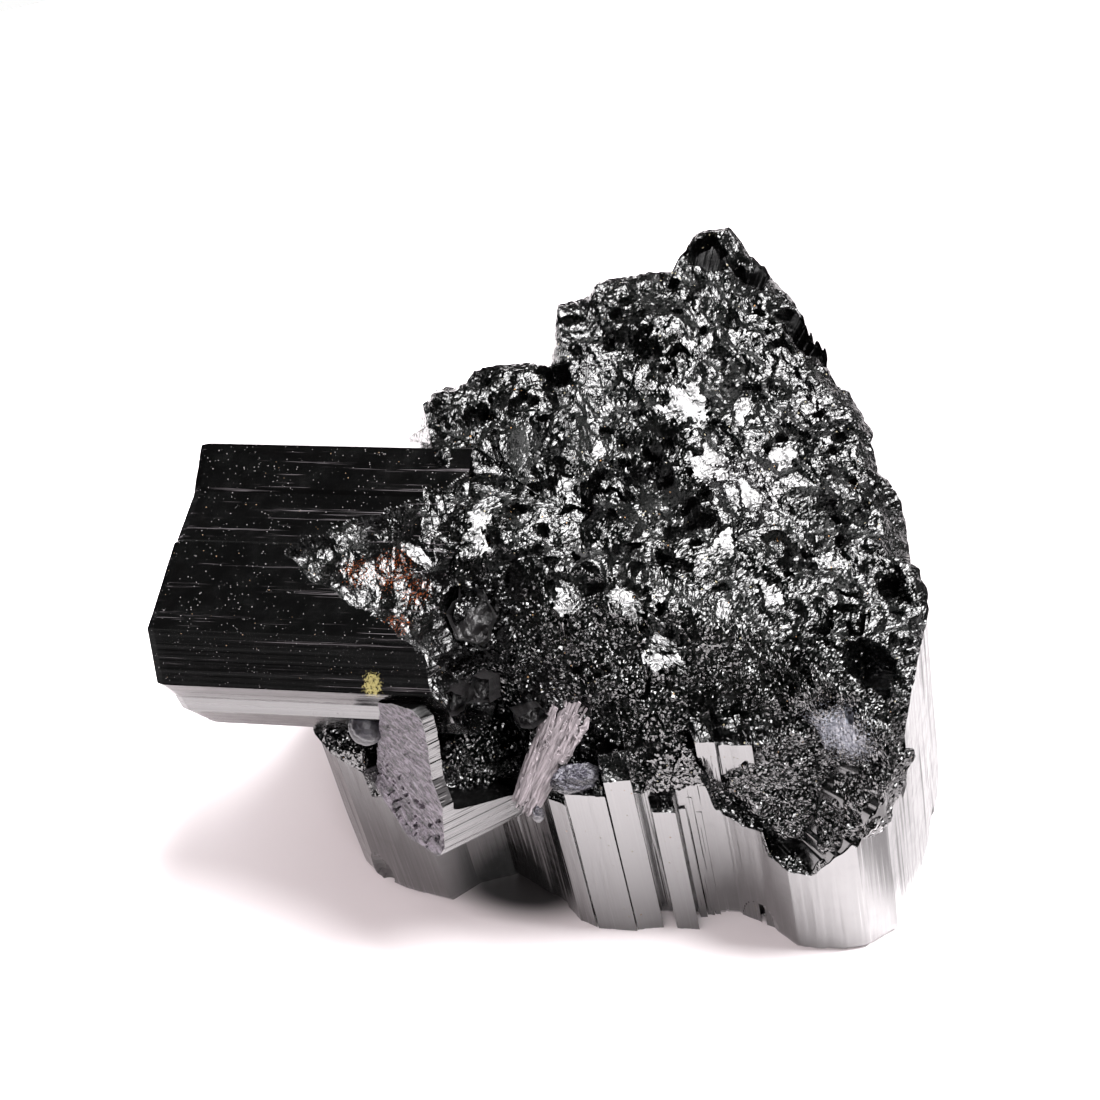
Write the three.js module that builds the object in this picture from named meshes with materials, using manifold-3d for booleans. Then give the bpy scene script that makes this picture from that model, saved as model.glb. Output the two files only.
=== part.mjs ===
// A cluster of black tourmaline (schorl): upright columns grown side by side under one broken,
// drusy crown, with a thick crystal leaning out to the left and a short one across the corner.
// Millimetres, +Z up, +X to the right, -Y to the front. The cluster grew as one piece: one solid.
import * as THREE from 'three';
import { mergeVertices } from 'three/addons/utils/BufferGeometryUtils.js';
import Module from 'manifold-3d';

// Whole cluster
const boxCentre = { x: -2.39, y: -11.3 };    // the point of the plan that stands over the origin
const blackSchorl = { color: 0x131216, roughness: 0.28, metalness: 0.0 };

// Crown: three broad slopes blended, then small trigonal points, lumps and holes
const roofSlope = { height: 41.0, acrossX: -0.19, alongY: 0.05 };
const leftSlope = { height: 42.2, acrossX: 0.12 };
const apron = { height: 25.5, rise: 1.25, inwardX: 0.356, inwardY: 0.934, startX: -5, startY: -27 };
const slopeBlend = 1.6;                     // how softly the slopes run into each other
const shoulder = { startX: -11.0, height: 28.5, rise: 3.2 };  // the left column is lower
const rim = { drop: 1.5, width: 1.3 };      // the crown crumbles off towards its edge
const fracture = {                          // where the leaning crystal is broken at its root
  height: 39.4, rise: 0.2, line: [-15.2, -8.6], normal: [-0.93, -0.36], steepness: 1.3,
};
const crownStep = 1.25;                     // spacing of the crown's grid
const crownReach = { left: -36, right: 29, front: -37, back: 15 };
const pointSlope = 0.52;                    // a tourmaline rhombohedron leans 27 degrees off its base
const points = { cell: 3.6, heightSpread: 2.0, share: 0.85, seed: 3 };
const grains = { cell: 1.7, heightSpread: 0.9, share: 0.8, seed: 8 };
const pointLift = 0.45;                     // brings the mean of the points back to the slopes
const cavity = {                             // broken out of the front right, with an upright back
  left: 8.3, wallY: -28.6, wallCurve: 0.05, steepness: 9,
  floor: 17.4, climb: 1.75, climbFrom: 14.0, ledge: 22.5, ledgeTo: 11.3,
};

// Holes in the crown: place, half widths, depth, turn
const holes = [
  { x: 17.1, y: 9.6, rx: 1.3, ry: 1.2, depth: 4.5, turn: 0.2 },
  { x: 20.1, y: 7.3, rx: 1.3, ry: 0.9, depth: 3.5, turn: -0.9 },
  { x: 22.6, y: 1.6, rx: 2.4, ry: 0.8, depth: 4.0, turn: -1.1 },
  { x: 21.2, y: -26.3, rx: 1.4, ry: 1.6, depth: 6.0, turn: 0.1 },
  { x: 24.2, y: -20.6, rx: 0.9, ry: 1.2, depth: 3.0, turn: 0.0 },
  { x: 10.0, y: 2.2, rx: 2.0, ry: 0.9, depth: 2.2, turn: -0.3 },
  { x: -3.0, y: -1.4, rx: 1.2, ry: 0.8, depth: 2.4, turn: 0.5 },
  { x: 3.6, y: 0.8, rx: 0.9, ry: 1.1, depth: 2.6, turn: 0.0 },
  { x: 9.2, y: -9.3, rx: 1.5, ry: 4.2, depth: 1.6, turn: 0.15 },
  { x: 13.4, y: -30.0, rx: 1.9, ry: 1.5, depth: 5.0, turn: 0.0 },
];

// Plan of the joined columns, from the left corner along the front and back round
const clusterPlan = [
  [-20.8, -17.1], [-19.9, -18.8], [-17.7, -20.5], [-14.7, -22.2], [-12.2, -21.3], [-9.0, -21.3],
  [-8.0, -22.3], [-5.9, -24.5], [-4.4, -26.4], [2.1, -27.6], [5.0, -28.5], [6.1, -28.7],
  [8.2, -29.3], [10.3, -31.0], [12.1, -33.2], [13.6, -33.9], [15.5, -34.4], [17.5, -34.6],
  [20.2, -33.8], [21.7, -31.8], [23.0, -29.9], [24.3, -27.5], [25.3, -25.1], [26.5, -22.4],
  [26.6, -19.6], [26.0, -19.0], [26.7, -14.5], [26.1, -11.5], [25.5, -11.0], [25.6, -6.2],
  [25.0, -3.6], [24.2, -3.0], [23.8, -0.2], [22.7, 4.8], [20.9, 8.9], [19.3, 11.7], [17.2, 12.0],
  [15.4, 10.6], [14.6, 8.8], [11.7, 8.9], [8.4, 8.8], [7.4, 7.8], [5.0, 7.1], [4.0, 4.4],
  [3.3, 2.6], [0.4, 2.9], [-2.4, 3.2], [-3.2, 2.5], [-5.6, 2.5], [-8.6, -0.2], [-9.9, 2.6],
  [-13.0, 2.9], [-14.2, 1.4], [-18.0, 0.9], [-20.2, -2.8], [-20.6, -5.5], [-21.3, -8.6],
  [-21.0, -13.8],
];

// Columns that stand proud along the front, each with its own flat top
const frontColumns = [
  { top: 25.4, plan: [[-5.3, -25.0], [-4.6, -26.4], [-3.45, -27.3], [-3.2, -24.8]] },
  { top: 27.8, plan: [[-3.4, -24.9], [-3.35, -27.45], [-0.3, -28.5], [-0.2, -25.4]] },
  { top: 30.2, plan: [[-0.3, -25.3], [-0.25, -28.35], [1.85, -28.7], [2.1, -25.6]] },
  { top: 24.3, plan: [[2.7, -26.3], [2.85, -29.05], [4.6, -29.6], [4.9, -26.8]] },
  { top: 22.6, plan: [[4.8, -26.6], [4.9, -28.6], [6.2, -28.9], [6.4, -26.8]] },
  { top: 20.8, plan: [[6.2, -26.6], [6.35, -28.6], [7.8, -28.8], [8.0, -26.8]] },
  { top: 20.0, plan: [[8.0, -27.0], [8.25, -29.2], [9.65, -30.3], [10.2, -28.0]] },
  { top: 20.9, plan: [[9.8, -28.0], [9.95, -30.6], [11.2, -31.5], [12.2, -30.4]] },
  { top: 31.4, plan: [[8.5, -26.0], [8.5, -28.0], [11.3, -28.8], [11.7, -26.4]] },
  { top: 32.4, plan: [[6.9, -26.0], [7.1, -27.9], [8.6, -28.3], [8.9, -26.0]] },
];

// Columns that bulge from the back and the sides: rounded three-sided sections
const sideColumns = [
  { x: 24.3, y: -20.8, radius: 2.2, turn: -0.2 },
  { x: 24.2, y: -14.0, radius: 2.3, turn: 0.5 },
  { x: 23.1, y: -7.6, radius: 2.5, turn: 0.1 },
  { x: 22.0, y: -0.6, radius: 2.1, turn: 0.6 },
  { x: 19.6, y: 6.6, radius: 2.1, turn: 0.9 },
  { x: 17.3, y: 9.4, radius: 2.2, turn: 1.7 },
  { x: 12.4, y: 6.1, radius: 2.3, turn: 1.3 },
  { x: 7.2, y: 4.9, radius: 2.1, turn: 1.9 },
  { x: 0.4, y: 0.4, radius: 2.1, turn: 1.4 },
  { x: -5.0, y: -0.1, radius: 2.2, turn: 1.9 },
  { x: -11.4, y: 1.0, radius: 2.3, turn: 1.6 },
  { x: -16.6, y: -1.0, radius: 2.5, turn: 2.2 },
  { x: -18.9, y: -7.4, radius: 2.3, turn: 2.9 },
  { x: -18.6, y: -13.6, radius: 2.2, turn: 3.4 },
];
const sectionSides = 12;                    // points round a rounded three-sided section
const sectionRoundness = 0.14;              // how far its corners stand out
const columnHeight = 46;                    // taller than the crown, which trims it

// Thick crystal to the left: it leans out along its axis and dips at its free end
const leftCrystal = {
  end: [-28.9, -13.1, 25.5], outward: [-0.886, 0.395, -0.242], length: 23,
  section: [
    [-19.5, 9.6], [-19.0, 10.6], [-17.85, 11.85], [-14.4, 11.2], [-14.1, 11.0], [-9.6, 11.7],
    [-9.3, 12.0], [-3.0, 12.4], [-1.5, 12.6], [1.45, 8.9], [1.0, 5.8], [1.3, 4.1], [0.2, -0.3],
    [-2.2, -1.9], [-6.4, -2.8], [-11.2, -2.4], [-15.8, 1.2], [-19.1, 6.0],
  ],
  chip: { along: -1.4, side: 1.6, up: 1.0, size: [3.2, 3.0, 4.6] },
};

// Short crystal across the front corner, with an etched end that faces left
const cornerCrystal = {
  tip: [-13.6, -27.5, 22.0], inward: [0.8, 0.4, -0.45], length: 8.5,
  section: [
    [0.0, 0.0], [0.95, 2.0], [1.75, 3.4], [4.2, 6.9], [5.8, 9.9], [7.7, 10.2], [10.5, 7.1],
    [11.4, 3.4], [11.4, -0.8], [8.9, -0.5], [7.3, -1.6], [2.1, -1.9], [0.9, -1.6], [0.15, -0.95],
  ],
};

// Line in plan right of which the left column is cut back to just under that etched end
const clearing = { startX: -17.67, startY: -19.62, acrossX: 0.858, acrossY: -0.514, below: 0.2, steepness: 8.0 };

// Short broken crystals in the angle between the big ones: foot, direction, radius, length, sides
const stubCrystals = [
  { foot: [-7.0, -17.6, 31.5], towards: [-0.15, -0.5, 0.85], radius: 1.9, length: 5.6, sides: 6 },
  { foot: [-8.0, -13.2, 36.5], towards: [-0.1, -0.3, 0.95], radius: 2.0, length: 5.0, sides: 9 },
  { foot: [-5.0, -15.2, 34.5], towards: [-0.2, -0.35, 0.9], radius: 1.6, length: 5.5, sides: 6 },
  { foot: [-12.0, -15.6, 34.0], towards: [-0.1, -0.35, 0.93], radius: 1.6, length: 5.2, sides: 9 },
  { foot: [-9.8, -17.2, 32.4], towards: [-0.3, -0.4, 0.87], radius: 1.5, length: 4.8, sides: 6 },
  { foot: [-17.3, -17.2, 23.0], towards: [-0.6, -0.55, 0.58], radius: 1.35, length: 3.6, sides: 9 },
  { foot: [-4.8, -20.6, 29.6], towards: [-0.1, -0.6, 0.79], radius: 1.4, length: 4.6, sides: 6 },
];

// Sheaf of fibres that fans up the front, and rounded lumps: beside it, at the root, on the corner
const sheaf = { foot: [-7.3, -26.6, 24.5], head: [-0.6, -21.9, 33.0], halfWidth: 2.1, halfDepth: 1.0 };
const lumps = [
  { at: [-2.3, -25.5, 27.4], size: [2.4, 1.3, 1.7], turn: [0.2, -0.5, 0.5] },
  { at: [-15.4, -14.2, 36.0], size: [3.0, 3.4, 3.0], turn: [0.2, 0.3, 0.4] },
  { at: [-17.2, -17.9, 27.3], size: [1.4, 1.4, 1.4], turn: [0.0, 0.0, 0.0] },
];

// Broken places: hollows scooped out of the joined crystals
const scoops = [
  { at: [-8.3, -21.3, 27.4], size: [3.7, 3.7, 5.0], turn: [0.0, 0.0, 0.0] },
  { at: [8.6, -29.9, 23.4], size: [1.6, 1.3, 2.4], turn: [0.0, 0.3, 0.0] },
  { at: [-19.6, -19.2, 2.6], size: [0.9, 0.9, 3.0], turn: [0.0, 0.1, 0.6] },
  { at: [9.4, -31.6, 0.6], size: [2.4, 1.1, 1.6], turn: [0.0, 0.0, 0.7] },
  { at: [25.8, -26.0, 0.4], size: [1.0, 1.6, 2.0], turn: [0.1, 0.0, 0.4] },
  { at: [22.4, -31.4, 28.5], size: [1.1, 1.3, 7.5], turn: [0.0, 0.0, 0.5] },
];

const wasm = await Module();
wasm.setup();

// Geometry helpers

function solidFrom(geometry) {
  const bare = geometry.clone();
  bare.deleteAttribute('normal');
  bare.deleteAttribute('uv');
  const merged = mergeVertices(bare, 1e-4);
  const vertProperties = new Float32Array(merged.attributes.position.array);
  const triVerts = new Uint32Array(merged.index.array);
  return new wasm.Manifold(new wasm.Mesh({ numProp: 3, vertProperties, triVerts }));
}

function geometryFrom(solid) {
  const mesh = solid.getMesh();
  const geometry = new THREE.BufferGeometry();
  geometry.setAttribute('position', new THREE.BufferAttribute(mesh.vertProperties, 3));
  geometry.setIndex(new THREE.BufferAttribute(mesh.triVerts, 1));
  geometry.computeVertexNormals();
  return geometry;
}

function extrudePlan(plan, height) {
  const outline = new THREE.Shape(plan.map(([x, y]) => new THREE.Vector2(x, y)));
  return new THREE.ExtrudeGeometry(outline, { depth: height, bevelEnabled: false });
}

// A frame whose third axis runs along `direction` and whose second axis leans upwards
function frameAlong(origin, direction) {
  const along = new THREE.Vector3(...direction).normalize();
  const side = new THREE.Vector3().crossVectors(new THREE.Vector3(0, 0, 1), along).normalize();
  const up = new THREE.Vector3().crossVectors(along, side);
  const frame = new THREE.Matrix4().makeBasis(side, up, along);
  return frame.setPosition(...origin);
}

function ellipsoid({ at, size, turn }) {
  const geometry = new THREE.IcosahedronGeometry(1, 2);
  geometry.scale(...size);
  const place = new THREE.Matrix4().makeRotationFromEuler(new THREE.Euler(...turn));
  geometry.applyMatrix4(place.setPosition(...at));
  return solidFrom(geometry);
}

// Crown surface

function chance(i, j, seed) {
  const wave = Math.sin(i * 127.1 + j * 311.7 + seed * 74.7) * 43758.5453;
  return wave - Math.floor(wave);
}

// The highest of the three-sided points that stand on a jittered grid: each falls away from
// its tip by the same slope across its three faces
function pointedHeight(x, y, { cell, heightSpread, seed }) {
  const column = Math.floor(x / cell);
  const row = Math.floor(y / cell);
  let highest = -Infinity;
  for (let i = column - 2; i <= column + 2; i += 1) {
    for (let j = row - 2; j <= row + 2; j += 1) {
      const dx = x - (i + 0.1 + 0.8 * chance(i, j, seed)) * cell;
      const dy = y - (j + 0.1 + 0.8 * chance(i, j, seed + 1)) * cell;
      const turn = 0.6 * (chance(i, j, seed + 2) - 0.5);
      const falls = [0, 1, 2].map((k) => {
        const angle = turn + (k * 2 * Math.PI) / 3;
        return dx * Math.cos(angle) + dy * Math.sin(angle);
      });
      const tip = heightSpread * (chance(i, j, seed + 3) - 0.5);
      highest = Math.max(highest, tip - pointSlope * Math.max(...falls));
    }
  }
  return highest;
}

function softMinimum(a, b, blend) {
  const overlap = Math.max(blend - Math.abs(a - b), 0) / blend;
  return Math.min(a, b) - overlap * overlap * blend * 0.25;
}

function holeDepth(x, y) {
  let deepest = 0;
  for (const { x: cx, y: cy, rx, ry, depth, turn } of holes) {
    const across = ((x - cx) * Math.cos(turn) + (y - cy) * Math.sin(turn)) / rx;
    const along = ((y - cy) * Math.cos(turn) - (x - cx) * Math.sin(turn)) / ry;
    const reach = across * across + along * along;
    deepest = Math.max(deepest, depth * Math.exp(-reach * reach));
  }
  return deepest;
}

// Floor of the cavity, which climbs to the right, and its steep back and left walls
function cavityFloor(x, y) {
  const climbed = cavity.floor + cavity.climb * Math.max(0, x - cavity.climbFrom);
  const floor = x < cavity.ledgeTo ? cavity.ledge : climbed;
  const wallY = cavity.wallY - cavity.wallCurve * Math.max(0, x - cavity.climbFrom) ** 2;
  const behind = Math.max(0, y - wallY, cavity.left - x);
  return floor + cavity.steepness * behind;
}

// Plane just under the corner crystal's end, which climbs away steeply left of its edge
function clearedLevel(x, y) {
  const [tipX, tipY, tipZ] = cornerCrystal.tip;
  const [inX, inY, inZ] = cornerCrystal.inward;
  const level = tipZ - (inX * (x - tipX) + inY * (y - tipY)) / inZ;
  const beyond = clearing.acrossX * (x - clearing.startX) + clearing.acrossY * (y - clearing.startY);
  return level - clearing.below + clearing.steepness * Math.max(0, -beyond);
}

function broadCrown(x, y) {
  const roof = roofSlope.height + roofSlope.acrossX * (x - 5) + roofSlope.alongY * (y + 5);
  const left = leftSlope.height + leftSlope.acrossX * (x + 4);
  const inward = apron.inwardX * (x - apron.startX) + apron.inwardY * (y - apron.startY);
  const front = apron.height + apron.rise * inward;
  const blended = softMinimum(softMinimum(roof, left, slopeBlend), front, slopeBlend);
  const lowered = Math.min(blended, shoulder.height + shoulder.rise * Math.max(0, x - shoulder.startX));
  return Math.min(lowered, clearedLevel(x, y));
}

// Distance in plan from the nearest edge of the joined columns
function edgeDistance(x, y) {
  const spot = new THREE.Vector3(x, y, 0);
  const nearest = new THREE.Vector3();
  const distances = clusterPlan.map(([x0, y0], n) => {
    const [x1, y1] = clusterPlan[(n + 1) % clusterPlan.length];
    const edge = new THREE.Line3(new THREE.Vector3(x0, y0, 0), new THREE.Vector3(x1, y1, 0));
    return edge.closestPointToPoint(spot, true, nearest).distanceTo(spot);
  });
  return Math.min(...distances);
}

function roughness(x, y) {
  const coarse = points.share * pointedHeight(x, y, points);
  return coarse + grains.share * pointedHeight(x, y, grains) + pointLift;
}

function crownHeight(x, y) {
  const crumbled = rim.drop * Math.exp(-edgeDistance(x, y) / rim.width);
  const rough = roughness(x, y);
  const height = Math.min(broadCrown(x, y) + rough - crumbled, cavityFloor(x, y) + 0.5 * rough);
  return height - holeDepth(x, y);
}

// The broken root of the leaning crystal: level with the crown, and rising steeply to the left
function fractureHeight(x, y) {
  const [nx, ny] = fracture.normal;
  const outward = (x - fracture.line[0]) * nx + (y - fracture.line[1]) * ny;
  const level = fracture.height + fracture.rise * (x - fracture.line[0]);
  return level + roughness(x, y) + fracture.steepness * Math.max(0, outward);
}

// A block whose top is a grid that follows a height function
function blockUnder(heightAt) {
  const width = crownReach.right - crownReach.left;
  const depth = crownReach.back - crownReach.front;
  const across = Math.round(width / crownStep);
  const along = Math.round(depth / crownStep);
  const block = new THREE.BoxGeometry(width, depth, 1, across, along, 1);
  const spots = block.attributes.position;
  for (let n = 0; n < spots.count; n += 1) {
    const x = spots.getX(n) + (crownReach.left + crownReach.right) / 2;
    const y = spots.getY(n) + (crownReach.front + crownReach.back) / 2;
    const z = spots.getZ(n) > 0 ? heightAt(x, y) : -5;
    spots.setXYZ(n, x, y, z);
  }
  return solidFrom(block);
}

// Crystals

// Plan of a rounded three-sided section, the usual one for a tourmaline
function sectionPlan({ x, y, radius, turn }) {
  const plan = [];
  for (let n = 0; n < sectionSides; n += 1) {
    const angle = (n * 2 * Math.PI) / sectionSides;
    const reach = radius * (1 + sectionRoundness * Math.cos(3 * angle));
    plan.push([x + reach * Math.cos(angle + turn), y + reach * Math.sin(angle + turn)]);
  }
  return plan;
}

function uprightColumns() {
  let joined = solidFrom(extrudePlan(clusterPlan, columnHeight));
  for (const column of sideColumns) {
    joined = joined.add(solidFrom(extrudePlan(sectionPlan(column), columnHeight)));
  }
  joined = joined.intersect(blockUnder(crownHeight));
  for (const { plan, top } of frontColumns) {
    joined = joined.add(solidFrom(extrudePlan(plan, top)));
  }
  return joined;
}

function crystalAlong(origin, direction, section, length) {
  const prism = extrudePlan(section, length);
  prism.applyMatrix4(frameAlong(origin, direction));
  return solidFrom(prism);
}

function leaningCrystal() {
  const { end, outward, length, section, chip } = leftCrystal;
  const inward = outward.map((value) => -value);
  const frame = frameAlong(end, inward);
  const prism = crystalAlong(end, inward, section.map(([u, v]) => [-u, v]), length);
  const chipAt = new THREE.Vector3(-chip.side, chip.up, chip.along).applyMatrix4(frame);
  const chipped = ellipsoid({ at: chipAt.toArray(), size: chip.size, turn: [0.2, 0.5, 0.3] });
  return prism.subtract(chipped).intersect(blockUnder(fractureHeight));
}

function shortCrystal() {
  const { tip, inward, length, section } = cornerCrystal;
  return crystalAlong(tip, inward, section, length);
}

function stub({ foot, towards, radius, length, sides }) {
  const prism = new THREE.CylinderGeometry(radius * 0.9, radius, length, sides);
  prism.rotateX(Math.PI / 2);
  prism.translate(0, 0, length / 2);
  prism.applyMatrix4(frameAlong(foot, towards));
  return solidFrom(prism);
}

// A flattened cone with its point at the foot
function fibreSheaf() {
  const foot = new THREE.Vector3(...sheaf.foot);
  const run = new THREE.Vector3(...sheaf.head).sub(foot);
  const length = run.length();
  const cone = new THREE.CylinderGeometry(1, 0.25, length, 10);
  cone.rotateX(Math.PI / 2);
  cone.translate(0, 0, length / 2);
  cone.scale(sheaf.halfWidth, sheaf.halfDepth, 1);
  cone.applyMatrix4(frameAlong(sheaf.foot, run.toArray()));
  return solidFrom(cone);
}

function tourmaline() {
  let cluster = uprightColumns();
  cluster = cluster.add(leaningCrystal());
  cluster = cluster.add(shortCrystal());
  cluster = cluster.add(fibreSheaf());
  for (const lump of lumps) {
    cluster = cluster.add(ellipsoid(lump));
  }
  for (const scoop of scoops) {
    cluster = cluster.subtract(ellipsoid(scoop));
  }
  for (const crystal of stubCrystals) {
    cluster = cluster.add(stub(crystal));
  }
  const geometry = geometryFrom(cluster);
  geometry.translate(-boxCentre.x, -boxCentre.y, 0);
  const mesh = new THREE.Mesh(geometry, new THREE.MeshStandardMaterial(blackSchorl));
  mesh.name = 'tourmaline';
  return mesh;
}

const group = new THREE.Group();
group.add(tourmaline());

export default group;
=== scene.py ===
import math
import bpy
import numpy as np
from mathutils import Matrix


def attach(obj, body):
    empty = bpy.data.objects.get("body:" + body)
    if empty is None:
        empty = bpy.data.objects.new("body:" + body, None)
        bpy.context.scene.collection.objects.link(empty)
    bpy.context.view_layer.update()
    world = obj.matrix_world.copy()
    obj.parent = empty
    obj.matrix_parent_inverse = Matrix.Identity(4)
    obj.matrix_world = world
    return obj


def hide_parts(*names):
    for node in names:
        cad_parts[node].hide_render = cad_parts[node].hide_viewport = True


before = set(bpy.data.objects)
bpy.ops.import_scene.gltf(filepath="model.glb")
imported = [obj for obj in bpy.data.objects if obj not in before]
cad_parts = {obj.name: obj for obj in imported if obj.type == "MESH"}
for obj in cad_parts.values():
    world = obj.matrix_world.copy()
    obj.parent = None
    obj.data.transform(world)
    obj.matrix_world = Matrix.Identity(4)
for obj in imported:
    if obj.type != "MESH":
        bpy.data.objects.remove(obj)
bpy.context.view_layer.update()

millimetre = 0.001
planCentre = np.array([-2.39, -11.3, 0.0])   # the point of the plan that stands over the origin
fullTurn = 2 * math.pi


# Noise and small helpers

# A repeatable number from 0 to 1 for each cell: the fraction left of a large sine
def chance(i, j, seed):
    wave = np.sin(i * 127.1 + j * 311.7 + seed * 74.7) * 43758.5453
    return wave - np.floor(wave)


# From 0 at low to 1 at high, with flat ends: 3t^2 - 2t^3
def easeBetween(value, low, high):
    t = np.clip((value - low) / (high - low), 0, 1)
    return t * t * (3 - 2 * t)


# Smooth noise from -1 to 1: chance at the corners of unit cells, eased between them
def softNoise(x, y, seed):
    i = np.floor(x)
    j = np.floor(y)
    u = easeBetween(x - i, 0, 1)
    v = easeBetween(y - j, 0, 1)
    near = chance(i, j, seed) * (1 - u) + chance(i + 1, j, seed) * u
    far = chance(i, j + 1, seed) * (1 - u) + chance(i + 1, j + 1, seed) * u
    return 2 * (near * (1 - v) + far * v) - 1


# A value pushed about by soft noise. Each layer is a share and a size in mm, with the next seed
def shiftByNoise(value, x, y, seed, *layers):
    for number, (share, size) in enumerate(layers):
        value = value + share * softNoise(x / size, y / size, seed + number)
    return value


# Flat steps from -1 to 1 along s, with narrow risers, that drift slowly along t
def stepNoise(s, t, seed, riser=0.16):
    i = np.floor(s)
    rise = easeBetween(s - i, 1 - riser, 1)
    return softNoise(i * 1.7, t, seed) * (1 - rise) + softNoise((i + 1) * 1.7, t, seed) * rise


# The highest of three-sided points on a jittered grid: each falls from its tip by its own slope
# across its three faces, and by the square of the distance where slopes differ, so faces curve
def pointedHeight(x, y, cell, heightSpread, seed, slope=0.52, turnSpread=0.6, slopeSpread=0.0):
    column = np.floor(x / cell)
    row = np.floor(y / cell)
    highest = np.full(np.shape(x), -np.inf)
    for stepX in range(-2, 3):
        for stepY in range(-2, 3):
            i = column + stepX
            j = row + stepY
            dx = x - (i + 0.1 + 0.8 * chance(i, j, seed)) * cell
            dy = y - (j + 0.1 + 0.8 * chance(i, j, seed + 1)) * cell
            turn = turnSpread * (chance(i, j, seed + 2) - 0.5)
            falls = [dx * np.cos(turn + k * fullTurn / 3) + dy * np.sin(turn + k * fullTurn / 3)
                     for k in range(3)]
            tip = heightSpread * (chance(i, j, seed + 3) - 0.5)
            steep = slope * (1 + slopeSpread * (2 * chance(i, j, seed + 4) - 1))
            curve = 0.4 * slope * slopeSpread * (dx * dx + dy * dy) / cell
            highest = np.maximum(highest, tip - steep * np.max(falls, axis=0) - curve)
    return highest


# A hackly break: pointed heights added up in layers of cell, height spread, slope, share and seed,
# with their points turned every way round and of very different slopes
def hacklyHeight(x, y, layers, seed=0):
    total = np.zeros(np.shape(x))
    for cell, spread, slope, share, ownSeed in layers:
        total += share * pointedHeight(x, y, cell, spread, seed + ownSeed, slope, fullTurn / 3, 0.9)
    return total


# The lower of two heights, rounded where they cross by a parabola as wide as blend
def softMinimum(a, b, blend):
    overlap = np.maximum(blend - np.abs(a - b), 0) / blend
    return np.minimum(a, b) - overlap * overlap * blend * 0.25


# A vector of length one the same way
def unit(vector):
    return np.asarray(vector, float) / np.linalg.norm(vector)


# Three axes for a crystal: the third runs along it and the second leans upwards
def axesAlong(direction):
    along = unit(direction)
    side = unit(np.cross([0.0, 0.0, 1.0], along))
    return np.array([side, np.cross(along, side), along])


# Arrays side by side along a new last axis, such as the coordinates of points
def sideBySide(*parts):
    return np.stack(np.broadcast_arrays(*parts), axis=-1)


# Meshes

# Faces that point outwards: all are reversed where the volume inside them comes out negative, which
# is the sum over triangles of their corners' triple product
def turnOutwards(points, quads, triangles):
    halves = np.concatenate([quads[:, [0, 1, 2]], quads[:, [0, 2, 3]], triangles])
    a, b, c = (points - points.mean(axis=0))[halves.T]
    if np.einsum("ij,ij->", a, np.cross(b, c)) < 0:
        return quads[:, ::-1], triangles[:, ::-1]
    return quads, triangles


# A closed mesh from four- and three-cornered faces, moved into the row frame
def buildMesh(name, points, quads, triangles):
    quads, triangles = turnOutwards(points, quads, triangles)
    corners = np.concatenate([quads.ravel(), triangles.ravel()])
    starts = np.concatenate([np.arange(len(quads)) * 4, quads.size + np.arange(len(triangles)) * 3])
    mesh = bpy.data.meshes.new(name)
    mesh.vertices.add(len(points))
    mesh.vertices.foreach_set("co", ((points - planCentre) * millimetre).astype(np.float32).ravel())
    mesh.loops.add(len(corners))
    mesh.loops.foreach_set("vertex_index", corners.astype(np.int32))
    mesh.polygons.add(len(starts))
    mesh.polygons.foreach_set("loop_start", starts.astype(np.int32))
    mesh.update(calc_edges=True)
    mesh.validate()
    return mesh


# Stacked rings closed into a body: a band between each ring and the next, and a fan to a middle
# point at both ends. Returns the points, the bands' quads and the fans' triangles
def closeRings(rings):
    count, around = rings.shape[:2]
    points = np.concatenate([rings.reshape(-1, 3), rings[:1].mean(axis=1), rings[-1:].mean(axis=1)])
    ring = np.arange(count - 1)[:, None] * around
    here = np.arange(around)
    beyond = (here + 1) % around
    quads = sideBySide(ring + here, ring + beyond, ring + around + beyond, ring + around + here)
    last = here + (count - 1) * around
    startFan = sideBySide(beyond, here, count * around)
    endFan = sideBySide(last, np.roll(last, -1), count * around + 1)
    return points, quads.reshape(-1, 4), np.concatenate([startFan, endFan])


# Rings from a crystal's own axes to the plan
def placeRings(rings, origin, axes):
    return np.asarray(origin, float) + rings @ axes


# Several closed bodies as one set of points and faces, each turned outwards by its own volume
def joinBodies(bodies):
    joined = []
    offset = 0
    for points, quads, triangles in bodies:
        quads, triangles = turnOutwards(points, quads, triangles)
        joined.append((points, quads + offset, triangles + offset))
        offset += len(points)
    return [np.concatenate(parts) for parts in zip(*joined)]


# A square grid wound into a disc: each square ring becomes a circle. Returns each point's share of
# the way out and its angle
def windDisc(side):
    u, v = np.meshgrid(np.linspace(-1, 1, side), np.linspace(-1, 1, side), indexing="ij")
    share = np.maximum(np.abs(u), np.abs(v))
    safe = np.maximum(share, 1e-9)
    eighth = fullTurn / 8
    sideways = np.where(u > 0, eighth * v / safe, 4 * eighth - eighth * v / safe)
    upright = np.where(v > 0, 2 * eighth - eighth * u / safe, 6 * eighth + eighth * u / safe)
    return share, np.where(np.abs(u) >= np.abs(v), sideways, upright)


# The values along the four sides of a square grid, in order round it
def discRim(grid):
    return np.concatenate([grid[:-1, 0], grid[-1, :-1], grid[:0:-1, -1], grid[0, :0:-1]])


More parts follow.
